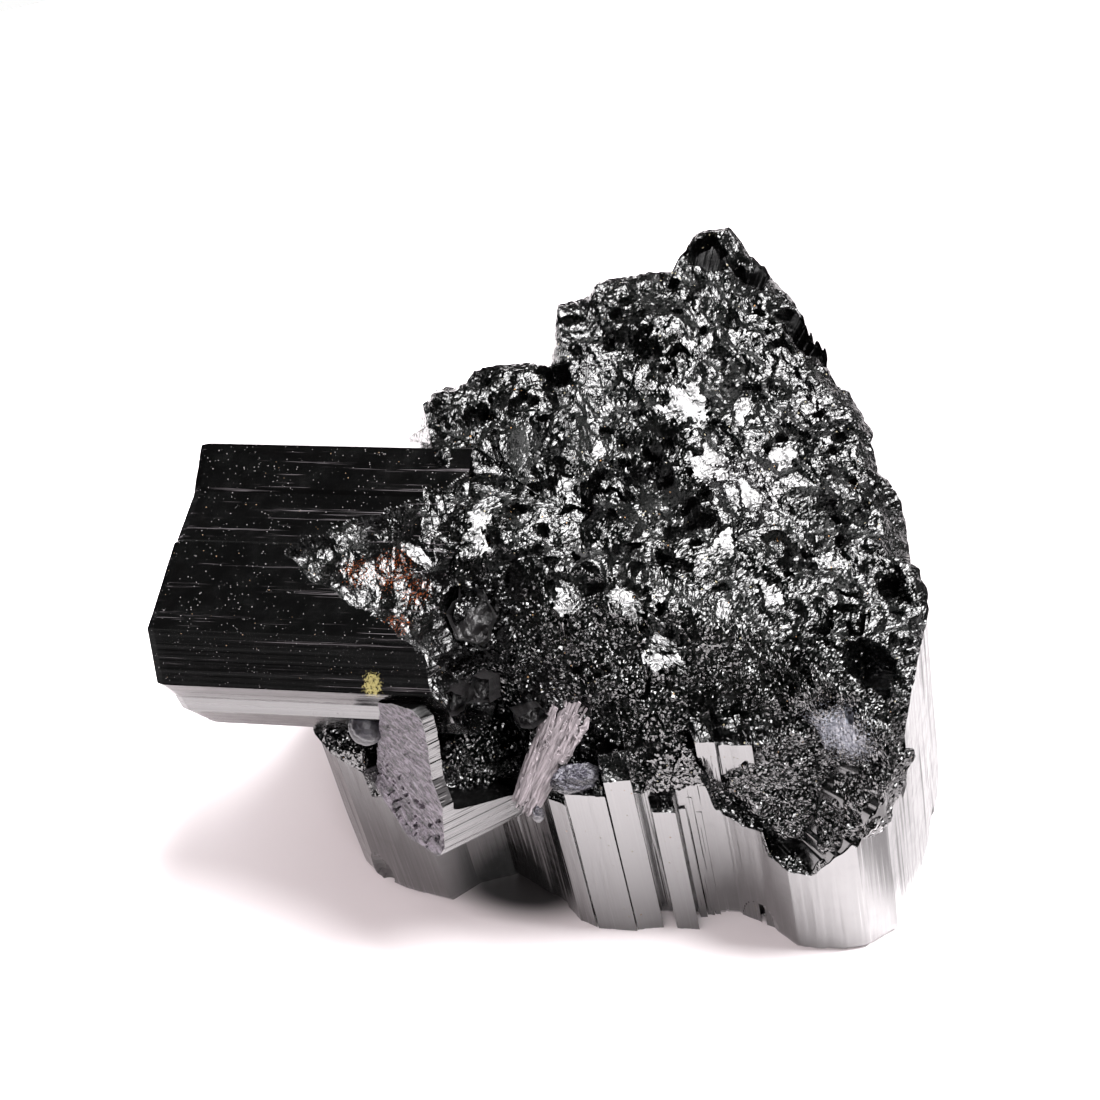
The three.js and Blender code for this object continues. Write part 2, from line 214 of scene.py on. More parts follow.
# A disc's surface closed behind: a skirt from its rim to the points under it, and a fan to a tip
def closeDisc(name, top, under, tip):
    index = np.arange(len(top) ** 2).reshape(len(top), len(top))
    quads = sideBySide(index[:-1, :-1], index[1:, :-1], index[1:, 1:], index[:-1, 1:]).reshape(-1, 4)
    rim = discRim(index)
    points = np.concatenate([top.reshape(-1, 3), under, [tip]])
    below = index.size + np.arange(len(rim))
    skirt = sideBySide(rim, below, np.roll(below, -1), np.roll(rim, -1))
    fan = sideBySide(below, len(points) - 1, np.roll(below, -1))
    return buildMesh(name, points, np.concatenate([quads, skirt]), fan)


# A point attribute that a material reads. The mesh's last points, past those of values, get rest
def paint(mesh, name, values, rest=0):
    missing = len(mesh.vertices) - np.size(values)
    painted = np.concatenate([np.ravel(values), np.resize(rest, missing)])
    mesh.attributes.new(name, "FLOAT", "POINT").data.foreach_set("value", painted.astype(np.float32))


# A visible piece in place of the solid, named as its mesh is
def addPiece(mesh, material):
    piece = bpy.data.objects.new(mesh.name, mesh)
    bpy.context.scene.collection.objects.link(piece)
    mesh.materials.append(material)
    mesh.polygons.foreach_set("use_smooth", np.zeros(len(mesh.polygons), bool))
    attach(piece, "root")
    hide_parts("tourmaline")
    print(f"{mesh.name} is built")


# Points spread evenly along a closed outline, with its corners kept where they fall
def walkOutline(outline, count):
    closed = np.concatenate([outline, outline[:1]])
    lengths = np.concatenate([[0.0], np.cumsum(np.linalg.norm(np.diff(closed, axis=0), axis=1))])
    walked = np.linspace(0, lengths[-1], count, endpoint=False)
    nearest = np.abs(walked[:, None] - lengths[None, :-1]).argmin(axis=0)
    walked[nearest] = lengths[:-1]
    return sideBySide(*[np.interp(walked, lengths, along) for along in closed.T]), walked


# The outward direction at each point of a closed outline: its chord turned a quarter turn
def outlineNormals(spots):
    chord = np.roll(spots, -1, axis=0) - np.roll(spots, 1, axis=0)
    normal = sideBySide(chord[:, 1], -chord[:, 0])
    normal /= np.maximum(np.linalg.norm(normal, axis=1, keepdims=True), 1e-9)
    area = np.sum(spots[:, 0] * np.roll(spots[:, 1], -1) - np.roll(spots[:, 0], -1) * spots[:, 1])
    return normal if area > 0 else -normal


# Colours and nodes

# An sRGB hex code as the linear colour that nodes take
def linearColour(hexCode):
    levels = [int(hexCode[k:k + 2], 16) / 255 for k in (1, 3, 5)]
    linear = [v / 12.92 if v <= 0.04045 else ((v + 0.055) / 1.055) ** 2.4 for v in levels]
    return (*linear, 1.0)


# Gives a node's inputs their values. A hex code is turned into a colour, a socket is linked, and so
# is the first live output of another node
def setInputs(node, inputs):
    for name, value in inputs.items():
        if isinstance(value, bpy.types.Node):
            value = next(output for output in value.outputs if output.enabled)
        if isinstance(value, bpy.types.NodeSocket):
            node.id_data.links.new(value, node.inputs[name])
        else:
            node.inputs[name].default_value = linearColour(value) if isinstance(value, str) else value


# Adds a node with its settings, its values and its links
def addNode(tree, kind, inputs, **settings):
    node = tree.nodes.new("ShaderNode" + kind)
    for name, value in settings.items():
        setattr(node, name, value)
    setInputs(node, inputs)
    return node


# A material with its node tree, its shader and the coordinates that patterns read
def newMaterial(name):
    material = bpy.data.materials.new(name)
    material.use_nodes = True
    tree = material.node_tree
    return material, tree, tree.nodes["Principled BSDF"], addNode(tree, "TexCoord", {}).outputs["Object"]


# A pattern's scale from the real size of its grain
def perMetre(sizeInMillimetres):
    return 1 / (sizeInMillimetres * millimetre)


# The turn that brings a crystal's direction upright, so that its pattern can be drawn out along Z
def uprightTurn(along):
    return Matrix(axesAlong(along)).to_euler() if along != (0, 0, 1) else (0, 0, 0)


# Camera and light

camera = {
    "place": (0.0, -168.568, 345.616),           # mm, over the plan
    "right": (0.97225, -0.20854, -0.10601),
    "up": (0.23394, 0.86670, 0.44057),
    "back": (0.0, -0.45314, 0.89144),
    "lens": 100, "sensor": 24, "nearest": 0.01, "farthest": 20,
}


# A long lens that looks down on the front from about 63 degrees up
def addCamera():
    data = bpy.data.cameras.new("camera")
    data.lens = camera["lens"]
    data.sensor_width = camera["sensor"]
    data.clip_start = camera["nearest"]
    data.clip_end = camera["farthest"]
    eye = bpy.data.objects.new("camera", data)
    bpy.context.scene.collection.objects.link(eye)
    place = (np.array(camera["place"]) - planCentre) * millimetre
    turn = Matrix((camera["right"], camera["up"], camera["back"])).transposed()
    turn = turn.to_quaternion().to_matrix().to_4x4()   # squares up the rounded numbers
    eye.matrix_world = Matrix.Translation(place) @ turn
    bpy.context.scene.camera = eye


lights = {                                      # the way to it, power, size in degrees, tint
    "key": ((0.45, 0.12, 0.88), 17.0, 33, "#fffdfe"),
    "fill": ((-0.80, 0.15, 0.58), 1.8, 90, "#fff1f3"),
    "front": ((-0.10, -0.75, 0.65), 1.4, 60, "#fff3f5"),
}

# What polished faces see. A bell has the way to it, its power, its width in degrees, and the two
# cosines of the angle from its middle between which it ends
sky = {
    "box": ((0.41, 0.14, 0.90), 32.0, 17, 0.62, 0.80),
    "lamp": ((0.10, -0.72, 0.69), 38.0, 5, 0.96, 0.985),
    "tint": "#fffdfe", "horizon": 0.25, "overhead": 0.006, "bandTop": 0.14, "backdrop": "#fefefe",
}

# The sheet's side is in metres, and its other sizes are in mm
ground = {
    "tone": "#f4f0f1", "roughness": 0.42, "side": 0.17,
    # painted shade: between these two distances in mm to the right, the sheet darkens to this tone as
    # light falling off would
    "paintedShadeFrom": 22.0, "paintedShadeTo": 27.0, "paintedShadeTone": "#868384",
    # painted contact shadow: middle, half sizes, turn and tone of a dark oval under the object's front
    # edge
    "paintedShadowAt": (-6.1, -10.9, 0), "paintedShadowHalf": (8.8, 3.8, 1000), "paintedShadowTurn": -22, "paintedShadowTone": "#181516",
    "paintedShadowCore": 0.35,                           # share of the painted contact shadow that is darkest
}


# A wide distant light that casts soft shadows and that polished faces don't see
def addLight(name, toward, power, size, tint):
    data = bpy.data.lights.new(name, "SUN")
    data.energy = power
    data.angle = math.radians(size)
    data.color = linearColour(tint)[:3]
    lamp = bpy.data.objects.new(name, data)
    bpy.context.scene.collection.objects.link(lamp)
    lamp.matrix_world = Matrix(axesAlong(toward)).transposed().to_4x4()
    lamp.visible_glossy = False


# A light in the sky whose strength falls off as a bell curve with the angle from its middle
def addBell(tree, direction, middle, power, width, ends, full):
    toward = addNode(tree, "VectorMath", {0: direction, 1: tuple(unit(middle))}, operation="DOT_PRODUCT")
    narrow = 1 / math.radians(width) ** 2
    fallen = addNode(tree, "Math", {0: toward, 1: narrow, 2: -narrow}, operation="MULTIPLY_ADD")
    bell = addNode(tree, "Math", {0: fallen}, operation="EXPONENT")
    edge = addNode(tree, "MapRange", {
        "Value": toward, "From Min": ends, "From Max": full, "To Max": power,
    }, interpolation_type="SMOOTHSTEP")
    return addNode(tree, "Math", {0: bell, 1: edge}, operation="MULTIPLY")


# What polished faces see: a large soft light box, a small lamp that only sparkles, and a dim band
# along the horizon. Straight behind the object it is pale
def addSky():
    world = bpy.data.worlds.new("studio")
    world.use_nodes = True
    tree = world.node_tree
    direction = addNode(tree, "TexCoord", {}).outputs["Generated"]
    height = addNode(tree, "SeparateXYZ", {"Vector": direction}).outputs["Z"]
    band = addNode(tree, "MapRange", {
        "Value": height, "From Max": sky["bandTop"], "To Min": sky["horizon"], "To Max": sky["overhead"],
    }, interpolation_type="SMOOTHSTEP")
    both = addNode(tree, "Math", {
        0: addBell(tree, direction, *sky["box"]), 1: addBell(tree, direction, *sky["lamp"]),
    })
    glow = addNode(tree, "Math", {0: both, 1: band})
    studio = tree.nodes["Background"]
    setInputs(studio, {"Color": sky["tint"], "Strength": glow})
    behind = addNode(tree, "Background", {"Color": sky["backdrop"]})
    mixed = addNode(tree, "MixShader", {
        0: addNode(tree, "LightPath", {}).outputs["Is Camera Ray"], 1: studio, 2: behind,
    })
    setInputs(tree.nodes["World Output"], {"Surface": mixed})
    bpy.context.scene.world = world
    world.cycles_visibility.diffuse = False
    bpy.context.scene.view_settings.view_transform = "Standard"


# A square sheet of satin acrylic, cast smooth, that takes soft shadows without sharp reflections. Its
# colour holds painted shade: it darkens to the right as light falling off would, and a painted contact
# shadow darkens an oval under the object's front edge
def addFloor():
    half = ground["side"] / 2
    mesh = bpy.data.meshes.new("floor")
    corners = [(-half, -half, 0), (half, -half, 0), (half, half, 0), (-half, half, 0)]
    mesh.from_pydata(corners, [], [(0, 1, 2, 3)])
    floor = bpy.data.objects.new("floor", mesh)
    bpy.context.scene.collection.objects.link(floor)
    material, tree, shader, spot = newMaterial("satinAcrylic")
    across = addNode(tree, "SeparateXYZ", {"Vector": spot}).outputs["X"]
    # painted shade: the floor's colour darkens towards the right
    paintedFalloff = addNode(tree, "MapRange", {
        "Value": across,
        "From Min": ground["paintedShadeFrom"] * millimetre, "From Max": ground["paintedShadeTo"] * millimetre,
    }, interpolation_type="SMOOTHSTEP")
    tone = addNode(tree, "Mix", {
        "Factor": paintedFalloff, "A": ground["tone"], "B": ground["paintedShadeTone"],
    }, data_type="RGBA")
    # painted contact shadow: the floor's colour goes dark inside the oval
    oval = addNode(tree, "Mapping", {
        "Vector": spot, "Location": tuple(v * millimetre for v in ground["paintedShadowAt"]),
        "Rotation": (0, 0, math.radians(ground["paintedShadowTurn"])),
        "Scale": tuple(v * millimetre for v in ground["paintedShadowHalf"]),
    }, vector_type="TEXTURE")
    away = addNode(tree, "VectorMath", {0: oval}, operation="LENGTH")
    under = addNode(tree, "MapRange", {
        "Value": away, "From Min": 1.0, "From Max": ground["paintedShadowCore"],
    }, interpolation_type="SMOOTHSTEP")
    tone = addNode(tree, "Mix", {"Factor": under, "A": tone, "B": ground["paintedShadowTone"]}, data_type="RGBA")
    setInputs(shader, {"Base Color": tone, "Roughness": ground["roughness"]})
    mesh.materials.append(material)


addCamera()
for lightName, settings in lights.items():
    addLight(lightName, *settings)
addSky()
addFloor()
print("camera, lights and floor are in place")


# Materials

polish = {
    "black": "#030303", "roughness": (0.112, 0.256), "ior": 1.66,
    "wear": 1.8,                                # mm across duller and brighter parts
    "striaWidth": 0.12, "striaHeight": 0.012, "stretch": 60.0,
    "lodged": "#474446", "lodgedWidth": 0.34,   # dust lodged in the deeper striae
}


# Striated prism faces of schorl: glass-hard black, finely ribbed along the crystal by growth, so
# they mirror the light box in long thin lines. Returns roughness, normal and drawn-out coordinates
def addPolish(tree, spot, along):
    turned = addNode(tree, "Mapping", {"Vector": spot, "Rotation": uprightTurn(along)})
    drawn = addNode(tree, "Mapping", {"Vector": turned, "Scale": (1, 1, 1 / polish["stretch"])})
    lines = addNode(tree, "TexNoise", {
        "Vector": drawn, "Scale": perMetre(polish["striaWidth"]), "Detail": 3.0, "Roughness": 0.6,
    })
    bump = addNode(tree, "Bump", {
        "Height": lines, "Strength": 0.35, "Distance": polish["striaHeight"] * millimetre,
    })
    wear = addNode(tree, "TexNoise", {
        "Vector": spot, "Scale": perMetre(polish["wear"]), "Detail": 4.0, "Roughness": 0.65,
    })
    low, high = polish["roughness"]
    rough = addNode(tree, "MapRange", {
        "Value": wear, "From Min": 0.35, "From Max": 0.75, "To Min": low, "To Max": high,
    })
    return rough, bump, drawn


# The upright columns: prism faces with clean striae, each a mirror broken into fine lines
def makePolished():
    material, tree, shader, spot = newMaterial("polishedSchorl")
    rough, bump = addPolish(tree, spot, (0, 0, 1))[:2]
    setInputs(shader, {
        "Base Color": polish["black"], "Roughness": rough, "Normal": bump, "IOR": polish["ior"],
    })
    return material


faceDust = {
    "spacing": 0.11, "size": 0.046, "share": 0.13, "clump": 2.2,
    "pale": "#646262", "ochre": "#75614a", "ochreShare": 0.08,
}
crownDust = {
    "spacing": 0.24, "size": 0.085, "share": 0.045, "clump": 3.0,
    "pale": "#6a6450", "ochre": "#70522e", "ochreShare": 0.3,
}


# Loose dust and mineral grains: pale specks with a few ochre ones, one to a cell at most
def addDust(tree, spot, colour, rough, dust):
    cells = addNode(tree, "TexVoronoi", {"Vector": spot, "Scale": perMetre(dust["spacing"])})
    pick = addNode(tree, "SeparateColor", {"Color": cells.outputs["Color"]}).outputs
    drift = addNode(tree, "TexNoise", {"Vector": spot, "Scale": perMetre(dust["clump"]), "Detail": 3.0})
    share = addNode(tree, "MapRange", {
        "Value": drift, "From Min": 0.35, "From Max": 0.7,
        "To Min": 1 - dust["share"] * 0.35, "To Max": 1 - dust["share"] * 1.4,
    })
    kept = addNode(tree, "Math", {0: pick["Red"], 1: share}, operation="GREATER_THAN")
    squared = addNode(tree, "Math", {0: pick["Blue"], 1: 2.0}, operation="POWER")
    size = addNode(tree, "Math", {0: squared, 1: dust["size"] / dust["spacing"]}, operation="MULTIPLY")
    near = addNode(tree, "Math", {0: cells, 1: size}, operation="LESS_THAN")
    speck = addNode(tree, "Math", {0: near, 1: kept}, operation="MULTIPLY")
    warm = addNode(tree, "Math", {0: pick["Green"], 1: 1 - dust["ochreShare"]}, operation="GREATER_THAN")
    grain = addNode(tree, "Mix", {"Factor": warm, "A": dust["pale"], "B": dust["ochre"]}, data_type="RGBA")
    mixed = addNode(tree, "Mix", {"Factor": speck, "A": colour, "B": grain}, data_type="RGBA")
    return mixed, addNode(tree, "Math", {0: rough, 1: speck}, operation="MAXIMUM")


druse = {
    "black": "#020202", "roughness": (0.051, 0.17), "ior": 1.66, "wear": 0.9,
    "speck": 0.21, "speckTilt": 0.52,
    "flake": 0.55, "flakeHeight": 0.11, "grit": 0.24, "gritHeight": 0.036, "bend": 0.9,
    "calm": 3.2,                                # mm across the parts that are more or less broken up
}


# Curved flakes: cones round scattered points, over a plan bent by noise, so that each flake catches
# the light along a crescent. Returns the normal
def addFlakes(tree, spot, size, height, strength, normal):
    drift = addNode(tree, "TexNoise", {
        "Vector": spot, "Scale": perMetre(size * 1.5), "Detail": 2.0, "Roughness": 0.6,
    }).outputs["Color"]
    middled = addNode(tree, "VectorMath", {0: drift, 1: (0.5, 0.5, 0.5)}, operation="SUBTRACT")
    reach = 2 * druse["bend"] * size * millimetre
    shift = addNode(tree, "VectorMath", {0: middled, "Scale": reach}, operation="SCALE")
    bent = addNode(tree, "VectorMath", {0: spot, 1: shift})
    cones = addNode(tree, "TexVoronoi", {"Vector": bent, "Scale": perMetre(size)})
    before = {"Normal": normal} if normal else {}
    return addNode(tree, "Bump", {
        "Height": cones, "Strength": strength, "Distance": height * millimetre, **before,
    })


# Hackly breakage in two sizes, strong in some parts and calm in others, where share is above 0
def addHackle(tree, spot, share, normal=None):
    mood = addNode(tree, "TexNoise", {
        "Vector": spot, "Scale": perMetre(druse["calm"]), "Detail": 3.0, "Roughness": 0.6,
    })
    rough = addNode(tree, "MapRange", {"Value": mood, "From Min": 0.35, "From Max": 0.62, "To Min": 0.35})
    strength = addNode(tree, "Math", {0: rough, 1: share}, operation="MULTIPLY")
    flaked = addFlakes(tree, spot, druse["flake"], druse["flakeHeight"], strength, normal)
    return addFlakes(tree, spot, druse["grit"], druse["gritHeight"], strength, flaked)


# Grit of flat-faced grains: the normal leans a different way in each cell, so that a grain is black,
# grey or a spark. Returns the normal
def addGrit(tree, spot, share, normal):
    cells = addNode(tree, "TexVoronoi", {"Vector": spot, "Scale": perMetre(druse["speck"])})
    colour = cells.outputs["Color"]
    middled = addNode(tree, "VectorMath", {0: colour, 1: (0.5, 0.5, 0.5)}, operation="SUBTRACT")
    reach = addNode(tree, "Math", {0: share, 1: 2 * druse["speckTilt"]}, operation="MULTIPLY")
    lean = addNode(tree, "VectorMath", {0: middled, "Scale": reach}, operation="SCALE")
    tilted = addNode(tree, "VectorMath", {0: normal, 1: lean})
    return addNode(tree, "VectorMath", {0: tilted}, operation="NORMALIZE")


# Stains and painted sparkle: tone, size of their grain in mm, and the noise level that they start at
stainsAndSparkle = {
    "rusty": ("#5a2a12", 0.22, 0.64),
    "yellow": ("#8a8254", 0.22, 0.54),
    # painted sparkle: a pale grey-blue tone that makes the crown's grains show white where it lies
    "paintedSparkle": ("#8f949e", 0.26, 0.50),
}


# Mineral stains where an attribute says: fine grains of dull colour that thin out towards the edge.
# In a pale tone, the same grains are painted sparkle that stands in for glints
def addStainOrSparkle(tree, spot, colour, name):
    tone, size, limit = stainsAndSparkle[name]
    place = addNode(tree, "Attribute", {}, attribute_name=name).outputs["Fac"]
    spread = addNode(tree, "TexNoise", {
        "Vector": spot, "Scale": perMetre(size), "Detail": 6.0, "Roughness": 0.8,
    })
    reach = addNode(tree, "Math", {0: place, 1: 0.22, 2: spread}, operation="MULTIPLY_ADD")
    stained = addNode(tree, "MapRange", {
        "Value": reach, "From Min": limit + 0.12, "From Max": limit + 0.16,
    })
    inside = addNode(tree, "MapRange", {"Value": place, "From Max": 0.12, "To Max": stained})
    return addNode(tree, "Mix", {"Factor": inside, "A": colour, "B": tone}, data_type="RGBA")


# The drusy, broken crown: tiny glassy flakes at every angle, each black or a mirror
def makeDrusy():
    material, tree, shader, spot = newMaterial("drusySchorl")
    coarse = addNode(tree, "Attribute", {}, attribute_name="coarse").outputs["Fac"]
    gritty = addNode(tree, "Attribute", {}, attribute_name="gritty").outputs["Fac"]
    calmer = addNode(tree, "Math", {0: gritty, 1: -0.5, 2: coarse}, operation="MULTIPLY_ADD")
    bump = addGrit(tree, spot, gritty, addHackle(tree, spot, calmer))
    wear = addNode(tree, "TexNoise", {
        "Vector": spot, "Scale": perMetre(druse["wear"]), "Detail": 5.0, "Roughness": 0.7,
    })
    low, high = druse["roughness"]
    rough = addNode(tree, "MapRange", {
        "Value": wear, "From Min": 0.3, "From Max": 0.75, "To Min": low, "To Max": high,
    })
    # A pale patch of painted sparkle lies on the black, under the dust
    colour, rough = addDust(tree, spot, addStainOrSparkle(tree, spot, druse["black"], "paintedSparkle"), rough, crownDust)
    setInputs(shader, {"Base Color": colour, "Roughness": rough, "Normal": bump, "IOR": druse["ior"]})
    return material


# The leaning crystal: mirror faces under dust, which also lies in the furrows, and a hackly broken
# root stained with rust in places. Its attributes say where
def makeDusty(along):
    material, tree, shader, spot = newMaterial("dustySchorl")
    rough, bump, drawn = addPolish(tree, spot, along)
    furrows = addNode(tree, "TexNoise", {
        "Vector": drawn, "Scale": perMetre(polish["lodgedWidth"]), "Detail": 4.0, "Roughness": 0.75,
    })
    deep = addNode(tree, "MapRange", {"Value": furrows, "From Min": 0.60, "From Max": 0.68})
    colour = addNode(tree, "Mix", {
        "Factor": deep, "A": polish["black"], "B": polish["lodged"],
    }, data_type="RGBA")
    colour, rough = addDust(tree, spot, colour, rough, faceDust)
    for name in ("rusty", "yellow"):
        colour = addStainOrSparkle(tree, spot, colour, name)
    broken = addNode(tree, "Attribute", {}, attribute_name="broken").outputs["Fac"]
    hackly = addHackle(tree, spot, broken, bump)
    setInputs(shader, {"Base Color": colour, "Roughness": rough, "Normal": hackly, "IOR": polish["ior"]})
    return material


etching = {
    "tone": "#706873", "pitTone": "#100e12", "pit": 0.42, "stretch": 2.6, "depth": 0.09,
    "dulled": 0.45,                             # roughness that etching adds
}


# The short crystal: ribbed mirror sides, and an end face etched to a dull lilac grey, with dark pits
# drawn out one way
def makeEtched(along):
    material, tree, shader, spot = newMaterial("etchedSchorl")
    smooth, bump = addPolish(tree, spot, along)[:2]
    etched = addNode(tree, "Attribute", {}, attribute_name="etched").outputs["Fac"]
    drawn = addNode(tree, "Mapping", {
        "Vector": spot, "Rotation": uprightTurn(along), "Scale": (1, 1 / etching["stretch"], 1),
    })
    grain = addNode(tree, "TexNoise", {
        "Vector": drawn, "Scale": perMetre(etching["pit"]), "Detail": 5.0, "Roughness": 0.72,
    })
    level = addNode(tree, "MapRange", {"Value": grain, "From Min": 0.40, "From Max": 0.56})
    skin = addNode(tree, "Mix", {
        "Factor": level, "A": etching["pitTone"], "B": etching["tone"],
    }, data_type="RGBA")
    tone = addNode(tree, "Mix", {"Factor": etched, "A": polish["black"], "B": skin}, data_type="RGBA")
    rough = addNode(tree, "Math", {0: etched, 1: etching["dulled"], 2: smooth}, operation="MULTIPLY_ADD")
    pitted = addNode(tree, "Bump", {
        "Height": level, "Strength": etched, "Distance": etching["depth"] * millimetre, "Normal": bump,
    })
    setInputs(shader, {"Base Color": tone, "Roughness": rough, "Normal": pitted, "IOR": polish["ior"]})
    return material


frosted = {
    "grain": 0.3, "grainHeight": 0.09, "deepShare": 0.25, "ior": 1.6,
    # tone, roughness, direction of the crystal, and how far the grain is drawn out along it
    "fibrousSchorl": ("#8a8386", 0.40, (6.7, 4.7, 8.5), 7.0),
    "greySchorl": ("#100e0f", 0.42, (0, 0, 1), 4.0),
    "roundedSchorl": ("#2b2932", 0.45, (0, 0, 1), 1.0),
}


# Weathered, rounded or fibrous schorl: a rough skin that scatters light in a flat grey, darker in
# the lows of its grain
def makeFrosted(name):
    material, tree, shader, spot = newMaterial(name)
    tone, roughness, along, stretch = frosted[name]
    turned = addNode(tree, "Mapping", {"Vector": spot, "Rotation": uprightTurn(along)})
    drawn = addNode(tree, "Mapping", {"Vector": turned, "Scale": (1, 1, 1 / stretch)})
    grain = addNode(tree, "TexNoise", {
        "Vector": drawn, "Scale": perMetre(frosted["grain"]),
        "Detail": 4.0, "Roughness": 0.65, "Distortion": 0.4,
    })
    bump = addNode(tree, "Bump", {
        "Height": grain, "Strength": 1.0, "Distance": frosted["grainHeight"] * millimetre,
    })
    *pale, alpha = linearColour(tone)
    deep = (*[frosted["deepShare"] * v for v in pale], alpha)
    shade = addNode(tree, "MapRange", {"Value": grain, "From Min": 0.35, "From Max": 0.6})
    mixed = addNode(tree, "Mix", {"Factor": shade, "A": deep, "B": tone}, data_type="RGBA")
    setInputs(shader, {
        "Base Color": mixed, "Roughness": roughness, "Normal": bump, "IOR": frosted["ior"],
    })
    return material


drusySchorl = makeDrusy()


# Plan of the joined columns

columns = {
    "middle": (3.0, -12.0),                     # every edge of the plan can be seen from here
    "plan": [
        [-20.8, -17.1], [-19.9, -18.8], [-17.7, -20.5], [-14.7, -22.2], [-12.2, -21.3], [-9.0, -21.3],
        [-8.0, -22.3], [-5.9, -24.5], [-4.4, -26.4], [2.1, -27.6], [5.0, -28.5], [6.1, -28.7],
        [8.2, -29.3], [10.3, -31.0], [12.1, -33.2], [13.6, -33.9], [15.5, -34.4], [17.5, -34.6],
        [20.2, -33.8], [21.7, -31.8], [23.0, -29.9], [24.3, -27.5], [25.3, -25.1], [26.5, -22.4],
        [26.6, -19.6], [26.0, -19.0], [26.7, -14.5], [26.1, -11.5], [25.5, -11.0], [25.6, -6.2],
        [25.0, -3.6], [24.2, -3.0], [23.8, -0.2], [22.7, 4.8], [20.9, 8.9], [19.3, 11.7], [17.2, 12.0],
        [15.4, 10.6], [14.6, 8.8], [11.7, 8.9], [8.4, 8.8], [7.4, 7.8], [5.0, 7.1], [4.0, 4.4],
        [3.3, 2.6], [0.4, 2.9], [-2.4, 3.2], [-3.2, 2.5], [-5.6, 2.5], [-8.6, -0.2], [-9.9, 2.6],
        [-13.0, 2.9], [-14.2, 1.4], [-18.0, 0.9], [-20.2, -2.8], [-20.6, -5.5], [-21.3, -8.6],
        [-21.0, -13.8],
    ],
    "bulging": [                                # x, y, radius, turn of rounded three-sided columns
        (24.3, -20.8, 2.2, -0.2), (24.2, -14.0, 2.3, 0.5), (23.1, -7.6, 2.5, 0.1),
        (22.0, -0.6, 2.1, 0.6), (19.6, 6.6, 2.1, 0.9), (17.3, 9.4, 2.2, 1.7), (12.4, 6.1, 2.3, 1.3),
        (7.2, 4.9, 2.1, 1.9), (0.4, 0.4, 2.1, 1.4), (-5.0, -0.1, 2.2, 1.9), (-11.4, 1.0, 2.3, 1.6),
        (-16.6, -1.0, 2.5, 2.2), (-18.9, -7.4, 2.3, 2.9), (-18.6, -13.6, 2.2, 3.4),
    ],
    "cornerShare": 0.14,                        # how far the three corners stand out
    "around": 2480, "rows": 34, "bulgeSides": 48,
    "striae": [(1.5, 0.16, 14.0, 31), (0.62, 0.07, 9.0, 37), (0.24, 0.03, 6.0, 41)],
    "footBevel": 0.25, "footFade": 0.35,
    "tuck": 0.12, "hiddenTip": 14.0,            # how the walls close inside the crown
    "undercuts": [                              # x, y, half width, depth, middle height, half height
        (22.4, -31.4, 1.0, 1.1, 28.5, 7.5), (9.6, -30.6, 1.6, 1.6, 0.0, 4.0),
        (-19.6, -19.2, 1.0, 0.9, 2.6, 3.0), (25.8, -26.0, 1.3, 0.9, 0.4, 2.0),
    ],
}


# Rounded three-sided section: a circle whose radius swells with the cosine of three times the angle
def roundedSection(x, y, radius, turn):
    angle = np.arange(columns["bulgeSides"]) * fullTurn / columns["bulgeSides"]
    reach = radius * (1 + columns["cornerShare"] * np.cos(3 * angle))
    return sideBySide(x + reach * np.cos(angle + turn), y + reach * np.sin(angle + turn))


# How far the plan reaches from its middle at each angle: the farthest crossing of the ray with an
# edge of the plan or of a bulging column
def planReach(angles):
    outlines = [np.array(columns["plan"])]
    outlines += [roundedSection(*column) for column in columns["bulging"]]
    starts = np.concatenate(outlines) - columns["middle"]
    ends = np.concatenate([np.roll(outline, -1, axis=0) for outline in outlines]) - columns["middle"]
    edges = ends - starts
    ray = sideBySide(np.cos(angles), np.sin(angles))
    spin = ray[:, None, 0] * edges[None, :, 1] - ray[:, None, 1] * edges[None, :, 0]
    spin = np.where(np.abs(spin) < 1e-9, 1e-9, spin)
    distance = (starts[:, 0] * edges[:, 1] - starts[:, 1] * edges[:, 0])[None, :] / spin
    share = (starts[None, :, 0] * ray[:, None, 1] - starts[None, :, 1] * ray[:, None, 0]) / spin
    crossed = (share >= 0) & (share <= 1) & (distance > 0)
    return np.where(crossed, distance, 0).max(axis=1)


wallAngles = np.arange(columns["around"]) * fullTurn / columns["around"]
wallReach = planReach(wallAngles)


# Crown: the same broad slopes, points and holes as the solid, then finer facets

